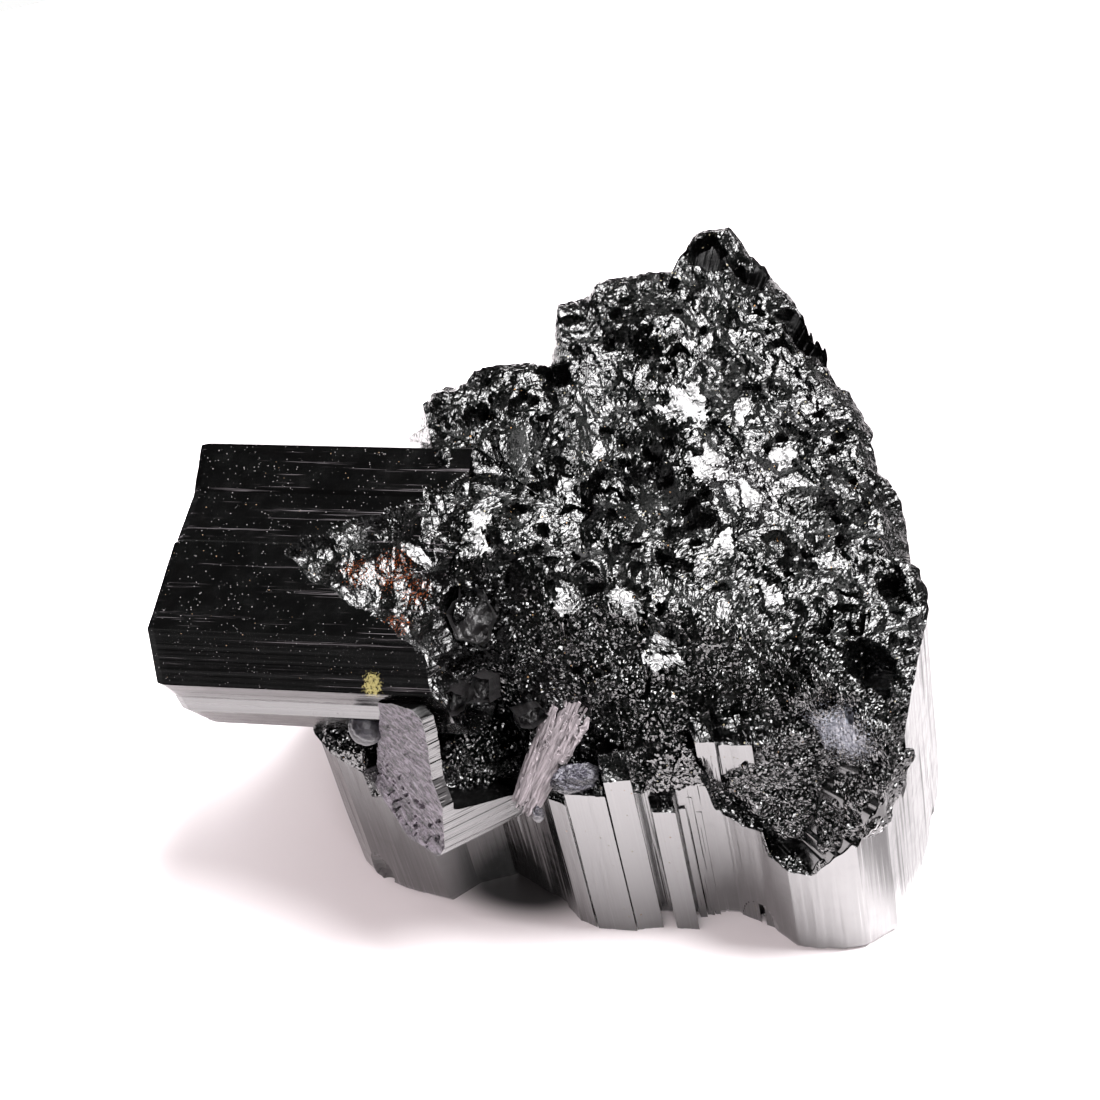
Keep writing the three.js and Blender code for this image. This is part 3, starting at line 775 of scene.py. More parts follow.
crown = {
    "paintedSparkle": (18.2, -28.8, 30.6), "paintedSparkleReach": 4.2,        # middle and reach of a pale patch of painted sparkle
    "roofAt": (5, -5), "roofHeight": 41.0, "roofAcrossX": -0.19, "roofAlongY": 0.05,
    "leftAt": -4, "leftHeight": 42.2, "leftAcrossX": 0.12,
    "apronHeight": 25.5, "apronRise": 1.25, "apronInward": (0.356, 0.934), "apronStart": (-5.0, -27.0),
    "apronEnds": (10.5, 13.5),                  # mm inward, where the apron gives way to the roof
    "blend": 1.6, "shoulderStart": -11.0, "shoulderHeight": 28.5, "shoulderRise": 3.2,
    "rimDrop": 1.5, "rimWidth": 1.3, "lowest": 1.0, "highest": 42.7,
    "points": (3.6, 2.0, 3), "pointShare": 0.75, "grains": (1.7, 0.9, 8), "grainShare": 0.35, "lift": 0.25,
    "side": 311,                                # points along each side of the grid
    "overhang": 0.2, "overhangFade": 0.5, "tuckedIn": 0.3, "skirt": 0.9, "underside": 12.0,
    # layers of facets: cell, height spread, slope, share, seed
    "facets": [(2.3, 0.9, 0.45, 0.95, 15), (0.95, 0.35, 0.55, 0.38, 21), (0.46, 0.20, 0.60, 0.28, 27)],
    "shag": [(0.55, 0.3, 0.9, 0.5, 33)], "crackle": [(0.62, 0.10, 0.30, 1.0, 71)],
    "hollow": ((-8.3, -21.3, 27.4), (3.7, 3.7, 5.0)),         # middle and half widths
    "faceStart": ((-17.67, -19.62), (0.858, -0.514)),         # its left edge, and the way across it
    "faceGap": 0.5,                             # how far the crown stays under the etched face
    "patchTilt": (-0.229, 0.177),               # the cleaved facets' shared slope
}

farAbove = 99.0                                 # mm, above all of the crown

# Sizes in mm, and the levels of noise between which a crevice or a pit opens
crevices = {
    "crack": 2.2, "crackPatch": 2.6, "crackEnds": (0.72, 0.95),
    "pit": 0.9, "pitPatch": 4.0, "pitEnds": (0.55, 1.0), "deep": 1.1,
}

cavity = {
    "left": 8.3, "wallY": -29.8, "wallCurve": 0.05, "steepness": 5.0,
    "floor": 17.4, "climb": 1.75, "climbFrom": 14.0, "ledge": 21.6, "ledgeTo": 11.3, "ledgeY": -28.4,
}

holes = [                                       # x, y, half widths, depth, turn
    (17.1, 9.6, 1.3, 1.2, 4.5, 0.2), (20.1, 7.3, 1.3, 0.9, 3.5, -0.9), (22.6, 1.6, 2.4, 0.8, 4.0, -1.1),
    (21.2, -26.3, 1.4, 1.6, 6.0, 0.1), (24.2, -20.6, 0.9, 1.2, 3.0, 0.0), (10.0, 2.2, 2.0, 0.9, 2.2, -0.3),
    (-3.0, -1.4, 1.2, 0.8, 2.4, 0.5), (3.6, 0.8, 0.9, 1.1, 2.6, 0.0), (9.2, -9.3, 1.5, 4.2, 1.6, 0.15),
    (13.4, -30.0, 1.9, 1.5, 5.0, 0.0),
]

smoothPatches = [                               # flat cleaved facets: x, y, half widths, turn
    (12.8, -3.4, 2.2, 2.2, 0.3), (0.3, -17.5, 0.95, 2.1, -0.2), (4.6, -18.6, 1.5, 1.7, 0.2),
    (6.2, -21.6, 1.5, 1.8, -0.4), (14.0, -18.5, 1.2, 1.4, 0.5), (11.5, -20.7, 0.9, 1.4, -0.2),
    (15.3, -19.9, 0.7, 1.4, 0.1), (12.9, -15.6, 0.8, 1.6, -0.4), (15.4, -12.0, 1.0, 1.4, 0.3),
    (13.2, -8.9, 1.7, 1.8, 0.7), (5.3, -5.9, 0.6, 1.0, -0.3), (-4.8, -11.0, 1.2, 2.9, -0.42),
    (16.8, -5.0, 1.1, 1.2, 0.2), (18.8, -8.6, 1.0, 1.3, 0.9), (9.8, -15.6, 0.7, 1.0, 0.4),
]

# The corner crystal, whose end face the crown is cleared for. Its section has u to the back, v up
corner = {
    "tip": (-13.6, -27.5, 22.0), "inward": (0.8, 0.4, -0.45), "length": 8.5,
    "section": [
        (0.0, 0.0), (-0.1, 0.8), (0.45, 6.2), (1.6, 8.7), (2.15, 13.6), (2.6, 16.2), (3.6, 16.7),
        (5.4, 15.6), (7.0, 13.8), (7.0, 12.0), (8.0, 5.5), (8.9, -0.3), (7.6, -0.9), (3.5, -1.8),
        (0.35, -0.6),
    ],
    "lean": 0.27, "leanAcross": 0.018, "thinFrom": 2.6, "thinTo": 5.4, "thin": 0.13,
    "around": 520, "rows": 40, "capRings": 80,
    "striae": [(0.8, 0.12, 20.0), (0.3, 0.05, 12.0), (0.15, 0.02, 9.0)],
}


# The square of the way out from an ellipse's middle, as a share of its reach: 1 on the ellipse
def ellipseReach(x, y, centreX, centreY, halfX, halfY, turn):
    across = ((x - centreX) * math.cos(turn) + (y - centreY) * math.sin(turn)) / halfX
    along = ((y - centreY) * math.cos(turn) - (x - centreX) * math.sin(turn)) / halfY
    return across * across + along * along


# Depth of the holes: each a bell over an ellipse whose edge is torn by noise
def holeDepth(x, y):
    deepest = np.zeros(np.shape(x))
    x = shiftByNoise(x, x, y, 41, (0.5, 0.8), (0.2, 0.35))
    y = shiftByNoise(y, x, y, 43, (0.5, 0.8), (0.2, 0.35))
    for *oval, depth, turn in holes:
        reach = ellipseReach(x, y, *oval, turn)
        deepest = np.maximum(deepest, depth * np.exp(-reach * reach))
    return deepest


# Floor of the cavity at the front right: a ledge on its left, then a floor that climbs to the right,
# with steep walls behind. The plan is crumpled by noise
def cavityFloor(x, y):
    x = shiftByNoise(x, x, y, 45, (0.7, 1.2), (0.3, 0.45))
    y = shiftByNoise(y, x, y, 47, (0.7, 1.2), (0.3, 0.45))
    beyond = np.maximum(0, x - cavity["climbFrom"])
    onLedge = x < cavity["ledgeTo"]
    floor = np.where(onLedge, cavity["ledge"], cavity["floor"] + cavity["climb"] * beyond)
    wallY = np.where(onLedge, cavity["ledgeY"], cavity["wallY"] - cavity["wallCurve"] * beyond ** 2)
    behind = np.maximum(0, np.maximum(y - wallY, cavity["left"] - x))
    return floor + cavity["steepness"] * behind


# How far a place lies inward from the foot of the front apron: the part of its offset that way
def apronInward(x, y):
    startX, startY = crown["apronStart"]
    return crown["apronInward"][0] * (x - startX) + crown["apronInward"][1] * (y - startY)


# The lowest of a roof, a left slope and a front apron, softly joined, and a low left shoulder
def broadCrown(x, y):
    roofX, roofY = crown["roofAt"]
    roof = crown["roofHeight"] + crown["roofAcrossX"] * (x - roofX) + crown["roofAlongY"] * (y - roofY)
    left = crown["leftHeight"] + crown["leftAcrossX"] * (x - crown["leftAt"])
    apron = crown["apronHeight"] + crown["apronRise"] * apronInward(x, y)
    blended = softMinimum(softMinimum(roof, left, crown["blend"]), apron, crown["blend"])
    shoulder = crown["shoulderHeight"] + crown["shoulderRise"] * np.maximum(0, x - crown["shoulderStart"])
    return np.minimum(blended, shoulder)


# 1 on the front apron and 0 on the roof above it
def apronShare(x, y):
    return 1 - easeBetween(apronInward(x, y), *crown["apronEnds"])


# The broad points and the grains on them: two sizes of pointed height, by their shares
def coarseRoughness(x, y):
    coarse = crown["pointShare"] * pointedHeight(x, y, *crown["points"])
    return coarse + crown["grainShare"] * pointedHeight(x, y, *crown["grains"]) + crown["lift"]


# Small facets turned every way round, on a plan that is bent a little so that their edges curve
def fineRoughness(x, y):
    bentX = shiftByNoise(x, x, y, 51, (0.35, 1.3), (0.12, 0.5))
    bentY = shiftByNoise(y, x, y, 53, (0.35, 1.3), (0.12, 0.5))
    return hacklyHeight(bentX, bentY, crown["facets"])


# Share of each cleaved facet: 1 inside a ragged ellipse and 0 outside
def patchShare(x, y, patch):
    ragged = shiftByNoise(0, x, y, 61, (0.45, 0.7), (0.25, 0.3))
    return 1 - easeBetween(np.sqrt(ellipseReach(x, y, *patch)) + ragged, 0.8, 1.0)


# Lays cleaved facets: inside each, the height gives way to a plane of the shared slope at the mean
# height there, with a fine crackle. Returns the height and the share that is cleaved
def layPatches(x, y, height):
    slopeX, slopeY = crown["patchTilt"]
    slope = slopeX * x + slopeY * y
    crackle = hacklyHeight(x, y, crown["crackle"])
    smooth = np.zeros(np.shape(x))
    for patch in smoothPatches:
        share = patchShare(x, y, patch)
        inside = share > 0.6
        level = np.mean((height - slope)[inside]) if inside.any() else 0
        height = height * (1 - share) + (level + slope + crackle) * share
        smooth = np.maximum(smooth, share)
    return height, smooth


# Narrow branching lines: 1 along the zero line of bent noise, less away from it
def ridge(x, y, size, seed):
    bentX = x / size + 0.5 * softNoise(x / size * 2, y / size * 2, seed + 1)
    bentY = y / size + 0.5 * softNoise(x / size * 2, y / size * 2, seed + 2)
    return 1 - np.abs(softNoise(bentX, bentY, seed))


# Floor of the oval hollow in the angle beside the corner crystal, and very high elsewhere
def hollowFloor(x, y):
    (middleX, middleY, middleZ), (halfX, halfY, halfZ) = crown["hollow"]
    reach = ((x - middleX) / halfX) ** 2 + ((y - middleY) / halfY) ** 2
    return np.where(reach < 1, middleZ - halfZ * np.sqrt(np.clip(1 - reach, 0, 1)), farAbove)


# A plane just under the corner crystal's end face, to the right of the line where that face begins,
# and very high elsewhere
def clearedLevel(x, y):
    tipX, tipY, tipZ = corner["tip"]
    leanX, leanY, leanZ = corner["inward"]
    level = tipZ - (leanX * (x - tipX) + leanY * (y - tipY)) / leanZ
    (startX, startY), (acrossX, acrossY) = crown["faceStart"]
    beyond = (x - startX) * acrossX + (y - startY) * acrossY + 0.25 * softNoise(x / 0.5, y / 0.5, 171)
    return np.where(beyond > 0, level - crown["faceGap"], farAbove)


# Share of a crevice or a pit: a narrow line where bent noise crosses zero, or a pit where other noise
# is high, both in patches
def creviceShare(x, y):
    patchy = 0.35 * softNoise(x / crevices["crackPatch"], y / crevices["crackPatch"], 151)
    cracked = ridge(x, y, crevices["crack"], 141) + patchy - 0.3
    pitted = softNoise(x / crevices["pit"] + 0.5 * softNoise(x, y, 155), y / crevices["pit"], 157)
    pitted += 0.5 * softNoise(x / crevices["pitPatch"], y / crevices["pitPatch"], 159)
    return np.maximum(easeBetween(cracked, *crevices["crackEnds"]),
                      1.2 * easeBetween(pitted, *crevices["pitEnds"]))


# The broad crown with its roughness and cleaved facets, crumbled at the rim, cut down to the cavity,
# opened by crevices and pits, cut down to the hollow and the end face, less the holes. Returns the
# height, how strongly flakes show, and how strongly grit shows
def crownHeight(x, y, edge):
    crumbled = crown["rimDrop"] * np.exp(-edge / crown["rimWidth"])
    rough = coarseRoughness(x, y)
    fine = fineRoughness(x, y)
    onApron = apronShare(x, y)
    shaggy = hacklyHeight(x, y, crown["shag"]) * onApron
    high, smooth = layPatches(x, y, broadCrown(x, y) + rough - crumbled + fine + shaggy)
    low = cavityFloor(x, y) + 0.5 * rough + fine
    gap = creviceShare(x, y) * (1 - smooth)
    high = np.minimum(high, low) - crevices["deep"] * gap * (1 - np.exp(-edge))
    high = np.minimum(high, hollowFloor(x, y) + 0.5 * fine)
    high = np.minimum(high, clearedLevel(x, y))
    gritty = (0.3 + 0.7 * onApron) * (1 - smooth)
    height = np.clip(high - holeDepth(x, y), crown["lowest"], crown["highest"])
    return height, 1 - 0.5 * smooth, gritty


# The crown's disc: rings of the grid become rings of the plan, each pushed out to its share of the
# plan's reach. The rim hangs a little over the walls in ragged bits
def buildCrown():
    share, angle = windDisc(crown["side"])
    reach = np.interp(angle, wallAngles, wallReach, period=fullTurn)
    edge = (1 - share) * reach
    ragged = shiftByNoise(0, angle * reach, 0 * reach, 81, (0.6, 0.9), (0.4, 0.35))
    over = crown["overhang"] * (0.5 + 0.5 * ragged) * np.exp(-edge / crown["overhangFade"])
    distance = share * reach + over
    x = columns["middle"][0] + distance * np.cos(angle)
    y = columns["middle"][1] + distance * np.sin(angle)
    z, coarse, gritty = crownHeight(x, y, edge)
    top = sideBySide(x, y, z)
    rimAngle = discRim(angle)
    outward = sideBySide(np.cos(rimAngle), np.sin(rimAngle), 0) * (crown["overhang"] + crown["tuckedIn"])
    under = discRim(top) - outward - np.array([0, 0, crown["skirt"]])
    mesh = closeDisc("crown", top, under, (*columns["middle"], crown["underside"]))
    paint(mesh, "coarse", coarse, 1)
    paint(mesh, "gritty", gritty)
    # Painted sparkle: a pale patch that fades out around a point near the crown's front right
    away = np.linalg.norm(top - np.array(crown["paintedSparkle"]), axis=-1) / crown["paintedSparkleReach"]
    paint(mesh, "paintedSparkle", 1 - easeBetween(away, 0.2, 1.0))
    return mesh


addPiece(buildCrown(), drusySchorl)


# Broken linings: rough oval slabs set over a steep place, where the crown's grid would be drawn out
linings = {
    "cavityLining": {
        "at": (14.6, -29.9, 25.0), "facing": (-0.05, -0.97, 0.26), "half": (6.4, 8.6), "deep": 2.5,
        "side": 171, "rough": 1.0, "seed": 300,
    },
    "climbLining": {
        "at": (17.0, -32.0, 24.2), "facing": (-0.80, -0.25, 0.55), "half": (2.6, 6.6), "deep": 1.6,
        "side": 121, "rough": 0.8, "seed": 370,
    },
    "flankLining": {
        "at": (-10.0, -22.5, 25.3), "facing": (0.594, -0.634, 0.494), "half": (4.2, 3.3), "deep": 0.8,
        "side": 121, "rough": 0.6, "seed": 400,
    },
}
liningShape = {
    "facets": [(2.2, 1.2, 0.5, 0.55, 1), (0.9, 0.6, 0.6, 0.6, 7), (0.4, 0.2, 0.6, 0.6, 13)],
    "ragged": 0.16, "rimDrop": 0.6, "tipDepth": 1.6,          # drop and depth as shares of deep
    "coarse": 1.2, "gritty": 1.4,
}


# A slab in its own frame: an oval disc whose front is raised by facets of three sizes and drawn back
# towards its ragged rim, closed behind by a skirt and a fan
def buildLining(name, spec):
    axes = axesAlong(spec["facing"])
    share, angle = windDisc(spec["side"])
    halfU, halfV = spec["half"]
    ragged = 1 + liningShape["ragged"] * softNoise(np.cos(angle) * 3, np.sin(angle) * 3, spec["seed"])
    u = share * halfU * np.cos(angle) * ragged
    v = share * halfV * np.sin(angle) * ragged
    height = spec["rough"] * hacklyHeight(u, v, liningShape["facets"], spec["seed"])
    height -= spec["deep"] * liningShape["rimDrop"] * easeBetween(share, 0.7, 1.0)
    top = placeRings(sideBySide(u, v, height), spec["at"], axes)
    back = axes[2] * spec["deep"]
    mesh = closeDisc(name, top, discRim(top) - back, spec["at"] - liningShape["tipDepth"] * back)
    for attribute in ("coarse", "gritty"):
        paint(mesh, attribute, (), liningShape[attribute])
    return mesh


for liningName, liningSpec in linings.items():
    addPiece(buildLining(liningName, liningSpec), drusySchorl)


# Walls of the joined columns: the plan's reach, cut back by striae in steps of three widths, carried
# straight down from the crown's rim to the foot, with a fan below and one hidden above
def buildWalls():
    middleX, middleY = columns["middle"]
    rimX = middleX + wallReach * np.cos(wallAngles)
    rimY = middleY + wallReach * np.sin(wallAngles)
    walked = np.concatenate([[0], np.cumsum(np.hypot(np.diff(rimX), np.diff(rimY)))])
    top = crownHeight(rimX, rimY, np.zeros(columns["around"]))[0] - columns["tuck"]
    z = np.linspace(0, 1, columns["rows"])[:, None] * top
    cut = np.zeros(z.shape)
    for width, depth, drift, seed in columns["striae"]:
        cut += depth * (0.5 + 0.5 * stepNoise(walked / width, z / drift, seed))
    cut += columns["footBevel"] * np.exp(-z / columns["footFade"])
    for x, y, halfWidth, depth, level, halfHeight in columns["undercuts"]:
        aside = np.hypot(rimX - x, rimY - y) / halfWidth
        cut += depth * np.sqrt(np.clip(1 - aside ** 2 - ((z - level) / halfHeight) ** 2, 0, 1))
    reach = wallReach - cut
    rings = sideBySide(middleX + reach * np.cos(wallAngles), middleY + reach * np.sin(wallAngles), z)
    points, quads, triangles = closeRings(rings)
    points[-2:] = [(middleX, middleY, 0.0), (middleX, middleY, columns["hiddenTip"])]
    return buildMesh("columnWalls", points, quads, triangles)


addPiece(buildWalls(), makePolished())


# Single crystals

plainCap = 4                                    # rings in an end that is flat
capFade = 0.08                                  # share of a cap near its rim where relief fades out


# A crystal's end from its middle outwards: the rim drawn in by equal shares, and raised by the
# relief, upwards or downwards
def capEnd(rim, middle, level, steps, relief, way):
    scale = np.linspace(0, 1, steps + 1)[1:-1, None]
    flat = middle + (rim - middle) * scale[..., None]
    raised = relief(*flat.transpose(2, 0, 1)) * easeBetween(1 - scale, 0, capFade)
    return sideBySide(flat[..., 0], flat[..., 1], level + way * raised)


# A crystal as stacked rings in its own frame: a start cap from its middle outwards, the sides at
# each level drawn in by cut, and an end cap back to the middle
def crystalRings(spots, levels, cut, capSteps, startRelief, endRelief):
    middle = spots.mean(axis=0)
    sides = spots - outlineNormals(spots) * cut[..., None]
    start = capEnd(sides[0], middle, levels[0], capSteps[0], startRelief, -1)
    end = capEnd(sides[-1], middle, levels[-1], capSteps[1], endRelief, 1)
    body = sideBySide(sides[..., 0], sides[..., 1], levels[:, None])
    return np.concatenate([start, body, end[::-1]])


# A flat end: no relief
def flatRelief(u, v):
    return np.zeros(np.shape(u))


# Growth hills on a prism's end: low three-sided points of two sizes
def hillRelief(u, v):
    hills = 0.5 * pointedHeight(u, v, 1.6, 0.3, 91, 0.25)
    return hills + 0.4 * pointedHeight(u, v, 0.5, 0.15, 95, 0.4) + 0.25


# A broken end: the crown's own roughness in both sizes
def hackRelief(u, v):
    return coarseRoughness(u, v) + 1.5 * fineRoughness(u, v) - 0.5


# Striae of several widths along a crystal's side: steps as deep as each width's depth, added up
def striaeCut(walked, levels, depths, seed):
    cut = np.zeros((len(levels), len(walked)))
    for width, depth, drift in depths:
        seed += 3
        cut += depth * (0.5 + 0.5 * stepNoise(walked[None, :] / width, levels[:, None] / drift, seed))
    return cut


leaning = {
    "end": (-28.9, -13.1, 25.5), "inward": (0.886, -0.395, 0.242), "length": 23.0,
    "section": [                                # u to the front, v up
        (-19.5, 9.6), (-19.0, 10.6), (-17.85, 11.85), (-14.4, 11.2), (-14.1, 11.0), (-9.6, 11.7),
        (-9.3, 12.0), (-3.0, 12.4), (-1.5, 12.6), (1.45, 8.9), (1.0, 5.8), (1.3, 4.1), (0.2, -0.3),
        (-2.2, -1.9), (-6.4, -2.8), (-11.2, -2.4), (-15.8, 1.2), (-19.1, 6.0),
    ],
    "around": 500, "smoothTo": 8.4, "smoothRows": 15, "brokenStep": 0.13,
    "caps": (26, 32), "bevel": 0.18, "bevelFade": 0.25,
    "striae": [(1.9, 0.022, 60.0), (0.7, 0.018, 40.0), (0.26, 0.012, 25.0)],
    "breakTip": (-20.5, -7.4), "lowerNormal": (0.799, 0.601), "upperNormal": (0.06, -0.998),
    "breakHeight": 39.5, "breakRise": 0.2, "breakStart": -15.2,
    "rusty": [(-11.9, -11.6, 3.4), (-12.4, -16.2, 2.2), (-10.5, -14.0, 2.4), (-14.5, -11.0, 2.4)],
    "yellow": [(-15.2, -20.3, 1.2), (-16.8, -20.8, 0.6)],
    "stainFrom": 37.4, "stainFade": 0.8,        # mm up, where stains start
}


# Height of the broken root, and its share: inside two edges that meet in a point at the left
def brokenRoot(x, y):
    tipX, tipY = leaning["breakTip"]
    ragged = shiftByNoise(0, x, y, 101, (0.45, 1.1), (0.2, 0.4))
    lower = (x - tipX) * leaning["lowerNormal"][0] + (y - tipY) * leaning["lowerNormal"][1]
    upper = (x - tipX) * leaning["upperNormal"][0] + (y - tipY) * leaning["upperNormal"][1]
    share = easeBetween(np.minimum(lower, upper) + ragged, 0.0, 0.35)
    level = leaning["breakHeight"] + leaning["breakRise"] * (x - leaning["breakStart"])
    return level + 0.6 * coarseRoughness(x, y) + fineRoughness(x, y), share


# The leaning crystal: its section carried along its direction, then lowered to the broken root where
# it stands above it. Stains are round places, fading outwards and downwards
def buildLeaning():
    section = np.array(leaning["section"]) * np.array([-1, 1])
    spots, walked = walkOutline(section, leaning["around"])
    smooth = np.linspace(0, leaning["smoothTo"], leaning["smoothRows"])
    broken = np.arange(leaning["smoothTo"], leaning["length"], leaning["brokenStep"])
    levels = np.concatenate([smooth, broken[1:]])
    cut = striaeCut(walked, levels, leaning["striae"], 110)
    cut += leaning["bevel"] * np.exp(-levels[:, None] / leaning["bevelFade"])
    rings = crystalRings(spots, levels, cut, leaning["caps"], hillRelief, hackRelief)
    rings = placeRings(rings, leaning["end"], axesAlong(leaning["inward"]))
    x, y, z = rings[..., 0], rings[..., 1], rings[..., 2]
    limit, share = brokenRoot(x, y)
    lowered = np.where(z > limit, share, 0)
    z += (limit - z) * lowered
    mesh = buildMesh("leaningCrystal", *closeRings(rings))
    lowered[1 - leaning["caps"][1]:] = 1        # the inner end is broken too
    paint(mesh, "broken", lowered, (0, 1))
    for name in ("rusty", "yellow"):
        away = [np.hypot(x - stainX, y - stainY) / size for stainX, stainY, size in leaning[name]]
        stained = 1 - easeBetween(np.min(away, axis=0), 0.3, 1.0)
        stained *= easeBetween(z, leaning["stainFrom"], leaning["stainFrom"] + leaning["stainFade"])
        paint(mesh, name, stained)
    return mesh


addPiece(buildLeaning(), makeDusty(leaning["inward"]))


# Etch pits on an end face: noise drawn out along the face and cut off above, so that only its
# lows show, over a fine grain
def etchRelief(u, v):
    drawn = u + 0.35 * v
    long = softNoise(drawn / 0.28, v / 0.8, 121) * 0.6 + softNoise(drawn / 0.15, v / 0.4, 122) * 0.4
    pits = -0.4 * easeBetween(-long, 0.32, 0.62)
    return pits + 0.05 * softNoise(drawn / 0.14, v / 0.3, 123) + 0.10 * softNoise(u / 0.9, v / 0.9, 124)


# Leans the end face outwards as it goes up, and thins the crystal behind it to a plate
def leanEnd(rings):
    u, v, w = rings[..., 0], rings[..., 1], rings[..., 2]
    thinned = 1 - (1 - corner["thin"]) * easeBetween(v, corner["thinFrom"], corner["thinTo"])
    out = (corner["lean"] + corner["leanAcross"] * u) * np.maximum(0, v - 1)
    rings[..., 2] = w * np.where(w > 0, thinned, 1) - out
    return rings


# The corner crystal: its section carried along its direction, with an etched end that leans out
def buildCorner():
    spots, walked = walkOutline(corner["section"], corner["around"])
    levels = np.linspace(0, corner["length"], corner["rows"])
    cut = striaeCut(walked, levels, corner["striae"], 130)
    rings = crystalRings(spots, levels, cut, (corner["capRings"], plainCap), etchRelief, flatRelief)
    rings = placeRings(leanEnd(rings), corner["tip"], axesAlong(corner["inward"]))
    mesh = buildMesh("cornerCrystal", *closeRings(rings))
    onFace = np.arange(len(rings)) < corner["capRings"] - 1
    paint(mesh, "etched", np.repeat(onFace, corner["around"]), (1, 0))
    return mesh


addPiece(buildCorner(), makeEtched(corner["inward"]))


front = {
    "columns": [                                # top, and the plan of each column
        (25.4, [(-5.3, -25.0), (-4.6, -26.4), (-3.45, -27.3), (-3.2, -24.8)]),
        (27.8, [(-3.4, -24.9), (-3.35, -27.45), (-0.3, -28.5), (-0.2, -25.4)]),
        (30.2, [(-0.3, -25.3), (-0.25, -28.35), (1.85, -28.7), (2.1, -25.6)]),
        (24.3, [(2.7, -26.3), (2.85, -29.05), (4.6, -29.6), (4.9, -26.8)]),
        (20.0, [(8.0, -27.0), (8.25, -29.2), (9.65, -30.3), (10.2, -28.0)]),
        (20.9, [(9.8, -28.0), (9.95, -30.6), (11.2, -31.5), (12.2, -30.4)]),
        (31.4, [(8.5, -26.0), (8.5, -28.0), (11.3, -28.8), (11.7, -26.4)]),
        (32.4, [(6.9, -26.0), (7.1, -27.9), (8.6, -28.3), (8.9, -26.0)]),
        (22.6, [(4.8, -26.6), (4.9, -28.6), (5.5, -28.7), (5.6, -26.8)]),
        (24.4, [(5.4, -26.6), (5.5, -28.5), (6.1, -28.7), (6.2, -26.8)]),
        (21.4, [(6.0, -26.6), (6.1, -28.6), (6.6, -28.8), (6.8, -26.8)]),
        (23.2, [(6.6, -26.6), (6.7, -28.4), (7.2, -28.6), (7.4, -26.8)]),
        (20.4, [(7.1, -26.6), (7.2, -28.5), (7.9, -28.7), (8.1, -26.8)]),
    ],
    "around": 140, "rows": 18, "capRings": 22,
    "striae": [(0.9, 0.05, 16.0), (0.33, 0.03, 10.0), (0.15, 0.012, 8.0)],
    "chip": 0.3, "chipSize": 0.5, "chipFade": 0.8,
}


# A column's broken top: it climbs backwards from the front edge with the crown's own roughness
def brokenTop(x, y, plan):
    middleX = np.mean(plan, axis=0)[0]
    climbFrom = np.min(plan, axis=0)[1] + 0.9 - 0.35 * (x - middleX)
    climb = np.maximum(0, y - climbFrom) * crown["apronRise"]
    return climb + 0.5 * coarseRoughness(x, y) + fineRoughness(x, y)


# Front columns: straight prisms whose top edges are chipped by noise that dies away downwards
def buildFront():
    bodies, coarse = [], []
    for number, (top, plan) in enumerate(front["columns"]):
        spots, walked = walkOutline(plan, front["around"])
        levels = np.linspace(0, top, front["rows"])
        cut = striaeCut(walked, levels, front["striae"], 140 + 10 * number)
        rings = crystalRings(spots, levels, cut, (plainCap, front["capRings"]), flatRelief,
                             lambda x, y: brokenTop(x, y, plan))
        x, y, z = rings[..., 0], rings[..., 1], rings[..., 2]
        edge = np.exp(-(top - z) / front["chipFade"]) * (z > 0)
        chip = 0.5 + 0.5 * stepNoise(x / front["chipSize"], y / front["chipSize"], 150 + number)
        z -= front["chip"] * chip * edge
        bodies.append(closeRings(rings))
        onTop = np.arange(len(rings)) > len(rings) - front["capRings"]
        coarse += [np.repeat(onTop, len(spots)), [0, 1]]
    mesh = buildMesh("frontColumns", *joinBodies(bodies))
    paint(mesh, "coarse", np.concatenate(coarse))
    return mesh


addPiece(buildFront(), drusySchorl)


stubs = {
    "places": [                                 # foot, direction, half widths, length, sides, turn
        ((-6.4, -14.2, 32.9), (-0.10, -0.36, 0.93), (1.8, 2.4), 6.2, 6, 0.9),
        ((-6.9, -19.3, 32.2), (-0.20, -0.48, 0.86), (1.2, 1.5), 4.2, 4, 0.5),
        ((-11.6, -17.0, 33.0), (-0.25, -0.45, 0.86), (1.3, 1.7), 4.6, 5, 1.4),
        ((-9.6, -18.6, 31.6), (-0.10, -0.62, 0.78), (1.5, 1.1), 4.2, 6, 0.2),
        ((-4.6, -20.6, 29.8), (0.10, -0.60, 0.79), (1.3, 0.9), 4.2, 5, 0.7),
    ],
    "around": 180, "rows": 14, "capRings": 22, "ragged": 0.10, "raggedSize": 0.6,
    "striae": [(0.5, 0.08, 5.0), (0.2, 0.03, 4.0)],
}


# Stub crystals: prisms over an oval with a few uneven corners, roughened by noise round the outline,
# with broken tops
def buildStubs():
    bodies = []
    for number, (foot, towards, half, length, sides, turn) in enumerate(stubs["places"]):
        corners = np.arange(sides)
        angle = (corners + 0.5 * chance(corners, number, 5)) * fullTurn / sides + turn
        outline = sideBySide(half[0] * np.cos(angle), half[1] * np.sin(angle))
        spots, walked = walkOutline(outline, stubs["around"])
        rough = softNoise(walked / stubs["raggedSize"], 0 * walked, 230 + number)
        spots = spots * (1 + stubs["ragged"] * rough)[:, None]
        levels = np.linspace(0, length, stubs["rows"])
        cut = striaeCut(walked, levels, stubs["striae"], 200 + 10 * number)
        rings = crystalRings(spots, levels, cut, (plainCap, stubs["capRings"]), flatRelief, hackRelief)
        bodies.append(closeRings(placeRings(rings, foot, axesAlong(towards))))
    return buildMesh("stubCrystals", *joinBodies(bodies))


addPiece(buildStubs(), makeFrosted("greySchorl"))


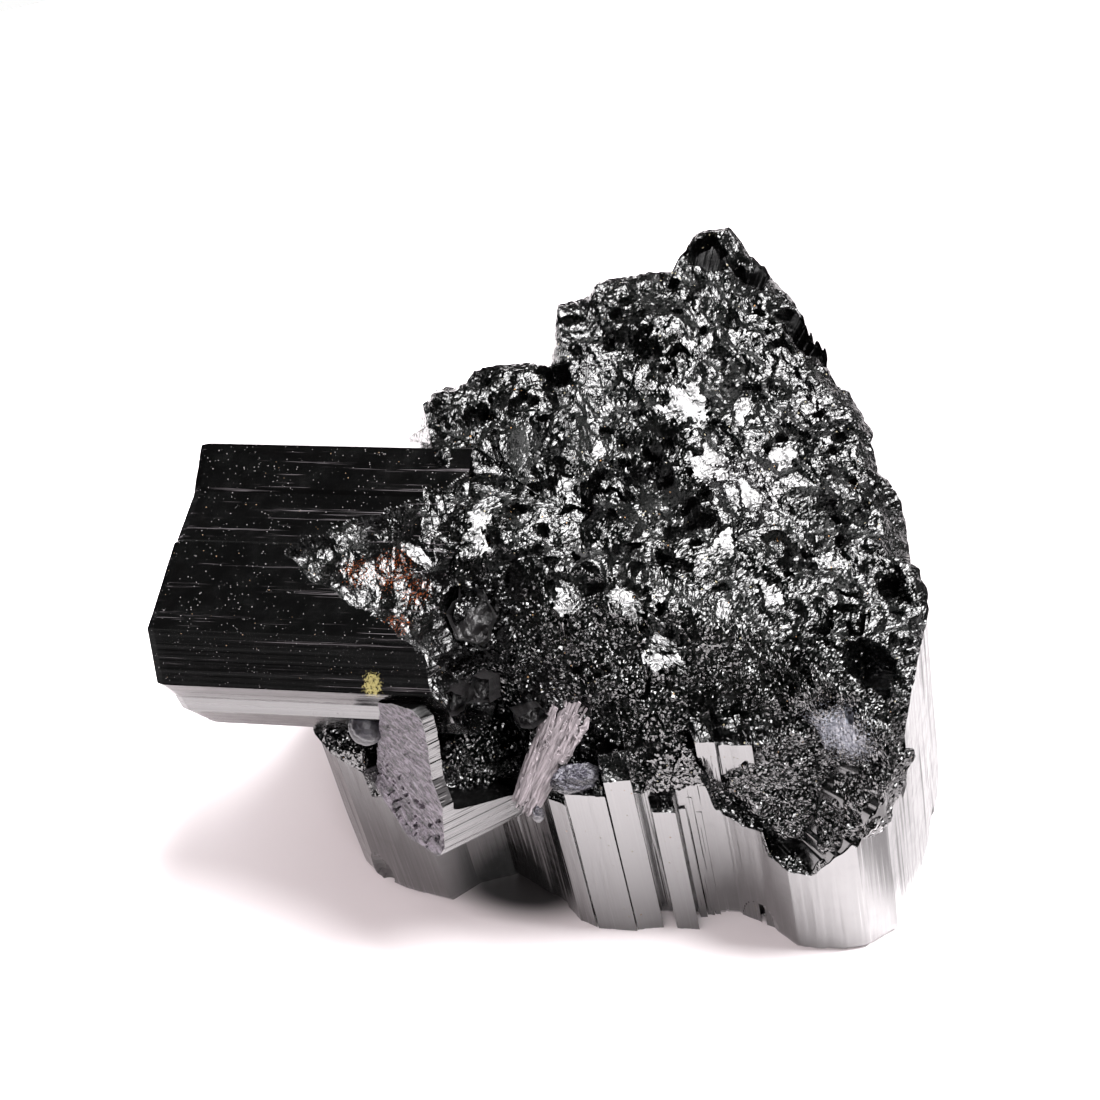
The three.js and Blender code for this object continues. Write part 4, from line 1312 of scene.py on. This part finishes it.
sheaf = {
    "foot": (-6.6, -26.5, 24.8), "head": (-0.6, -21.6, 32.3), "halfWidth": 2.0, "halfDepth": 0.8,
    "fibres": 620, "thick": (0.04, 0.12), "flatness": 1.6, "sides": 5, "rows": 6, "wobble": 0.08,
    # shares of the sheaf's length: where fibres start, how far they run, and where they end at most
    "start": (-0.02, 0.75), "run": (0.15, 0.45), "stop": (0.5, 1.0),
    "footSpread": 0.55,                         # width at the foot, as a share of the head's
}


# Sheaf of fibres: thin rods, thickest past their middle, that start closer together at the foot and
# fan out to the head
def buildSheaf():
    draw = np.random.default_rng(7)
    foot = np.array(sheaf["foot"])
    run = np.array(sheaf["head"]) - foot
    axes = axesAlong(run)
    length = np.linalg.norm(run)
    count = sheaf["rows"]
    swell = 0.35 + 0.65 * np.sin(np.linspace(0.25, 1, count) * math.pi * 0.6)
    bodies = []
    for _ in range(sheaf["fibres"]):
        across, deep = draw.uniform(-1, 1, 2)
        start = draw.uniform(*sheaf["start"]) * length
        stop = min(start + draw.uniform(*sheaf["run"]) * length, draw.uniform(*sheaf["stop"]) * length)
        thick = draw.uniform(*sheaf["thick"]) * swell[:, None]
        level = np.linspace(start, stop, count)
        spread = sheaf["footSpread"] + (1 - sheaf["footSpread"]) * level / length
        centreU = (across * sheaf["halfWidth"] + draw.normal(0, sheaf["wobble"], count)) * spread
        centreV = deep * math.sqrt(1 - across * across) * sheaf["halfDepth"] * spread
        angle = np.arange(sheaf["sides"]) * fullTurn / sheaf["sides"] + draw.uniform(0, 1)
        u = centreU[:, None] + thick * np.cos(angle) * sheaf["flatness"]
        v = centreV[:, None] + thick * np.sin(angle)
        bodies.append(closeRings(placeRings(sideBySide(u, v, level[:, None]), foot, axes)))
    return buildMesh("fibreSheaf", *joinBodies(bodies))


addPiece(buildSheaf(), makeFrosted("fibrousSchorl"))


lumps = {
    "places": [                                 # middle, half widths, roughness, noise size
        ((-16.7, -19.6, 31.0), (1.35, 1.4, 1.6), 0.04, 0.9),
        ((-2.2, -26.7, 28.4), (1.8, 1.0, 1.4), 0.16, 0.4),
        ((-5.6, -27.1, 24.6), (0.5, 0.5, 1.1), 0.12, 0.4),
    ],
    "around": 120, "rows": 80,
}


# Rounded masses: ovals whose reach swells and dips with noise of two sizes over their skin
def buildLumps():
    bodies = []
    polar = np.linspace(0, math.pi, lumps["rows"] + 2)[1:-1, None]
    turn = np.arange(lumps["around"]) * fullTurn / lumps["around"]
    way = sideBySide(np.sin(polar) * np.cos(turn), np.sin(polar) * np.sin(turn), np.cos(polar))
    for number, (middle, half, rough, size) in enumerate(lumps["places"]):
        oval = way * np.array(half)
        x, y, z = np.moveaxis(oval / size, -1, 0)
        noise = softNoise(x + 1.7 * z, y - 1.3 * z, 500 + number)
        noise += 0.5 * softNoise(3 * x + z, 3 * y + 2 * z, 520 + number)
        bodies.append(closeRings(middle + oval * (1 + rough * noise[..., None])))
    return buildMesh("roundLumps", *joinBodies(bodies))


addPiece(buildLumps(), makeFrosted("roundedSchorl"))
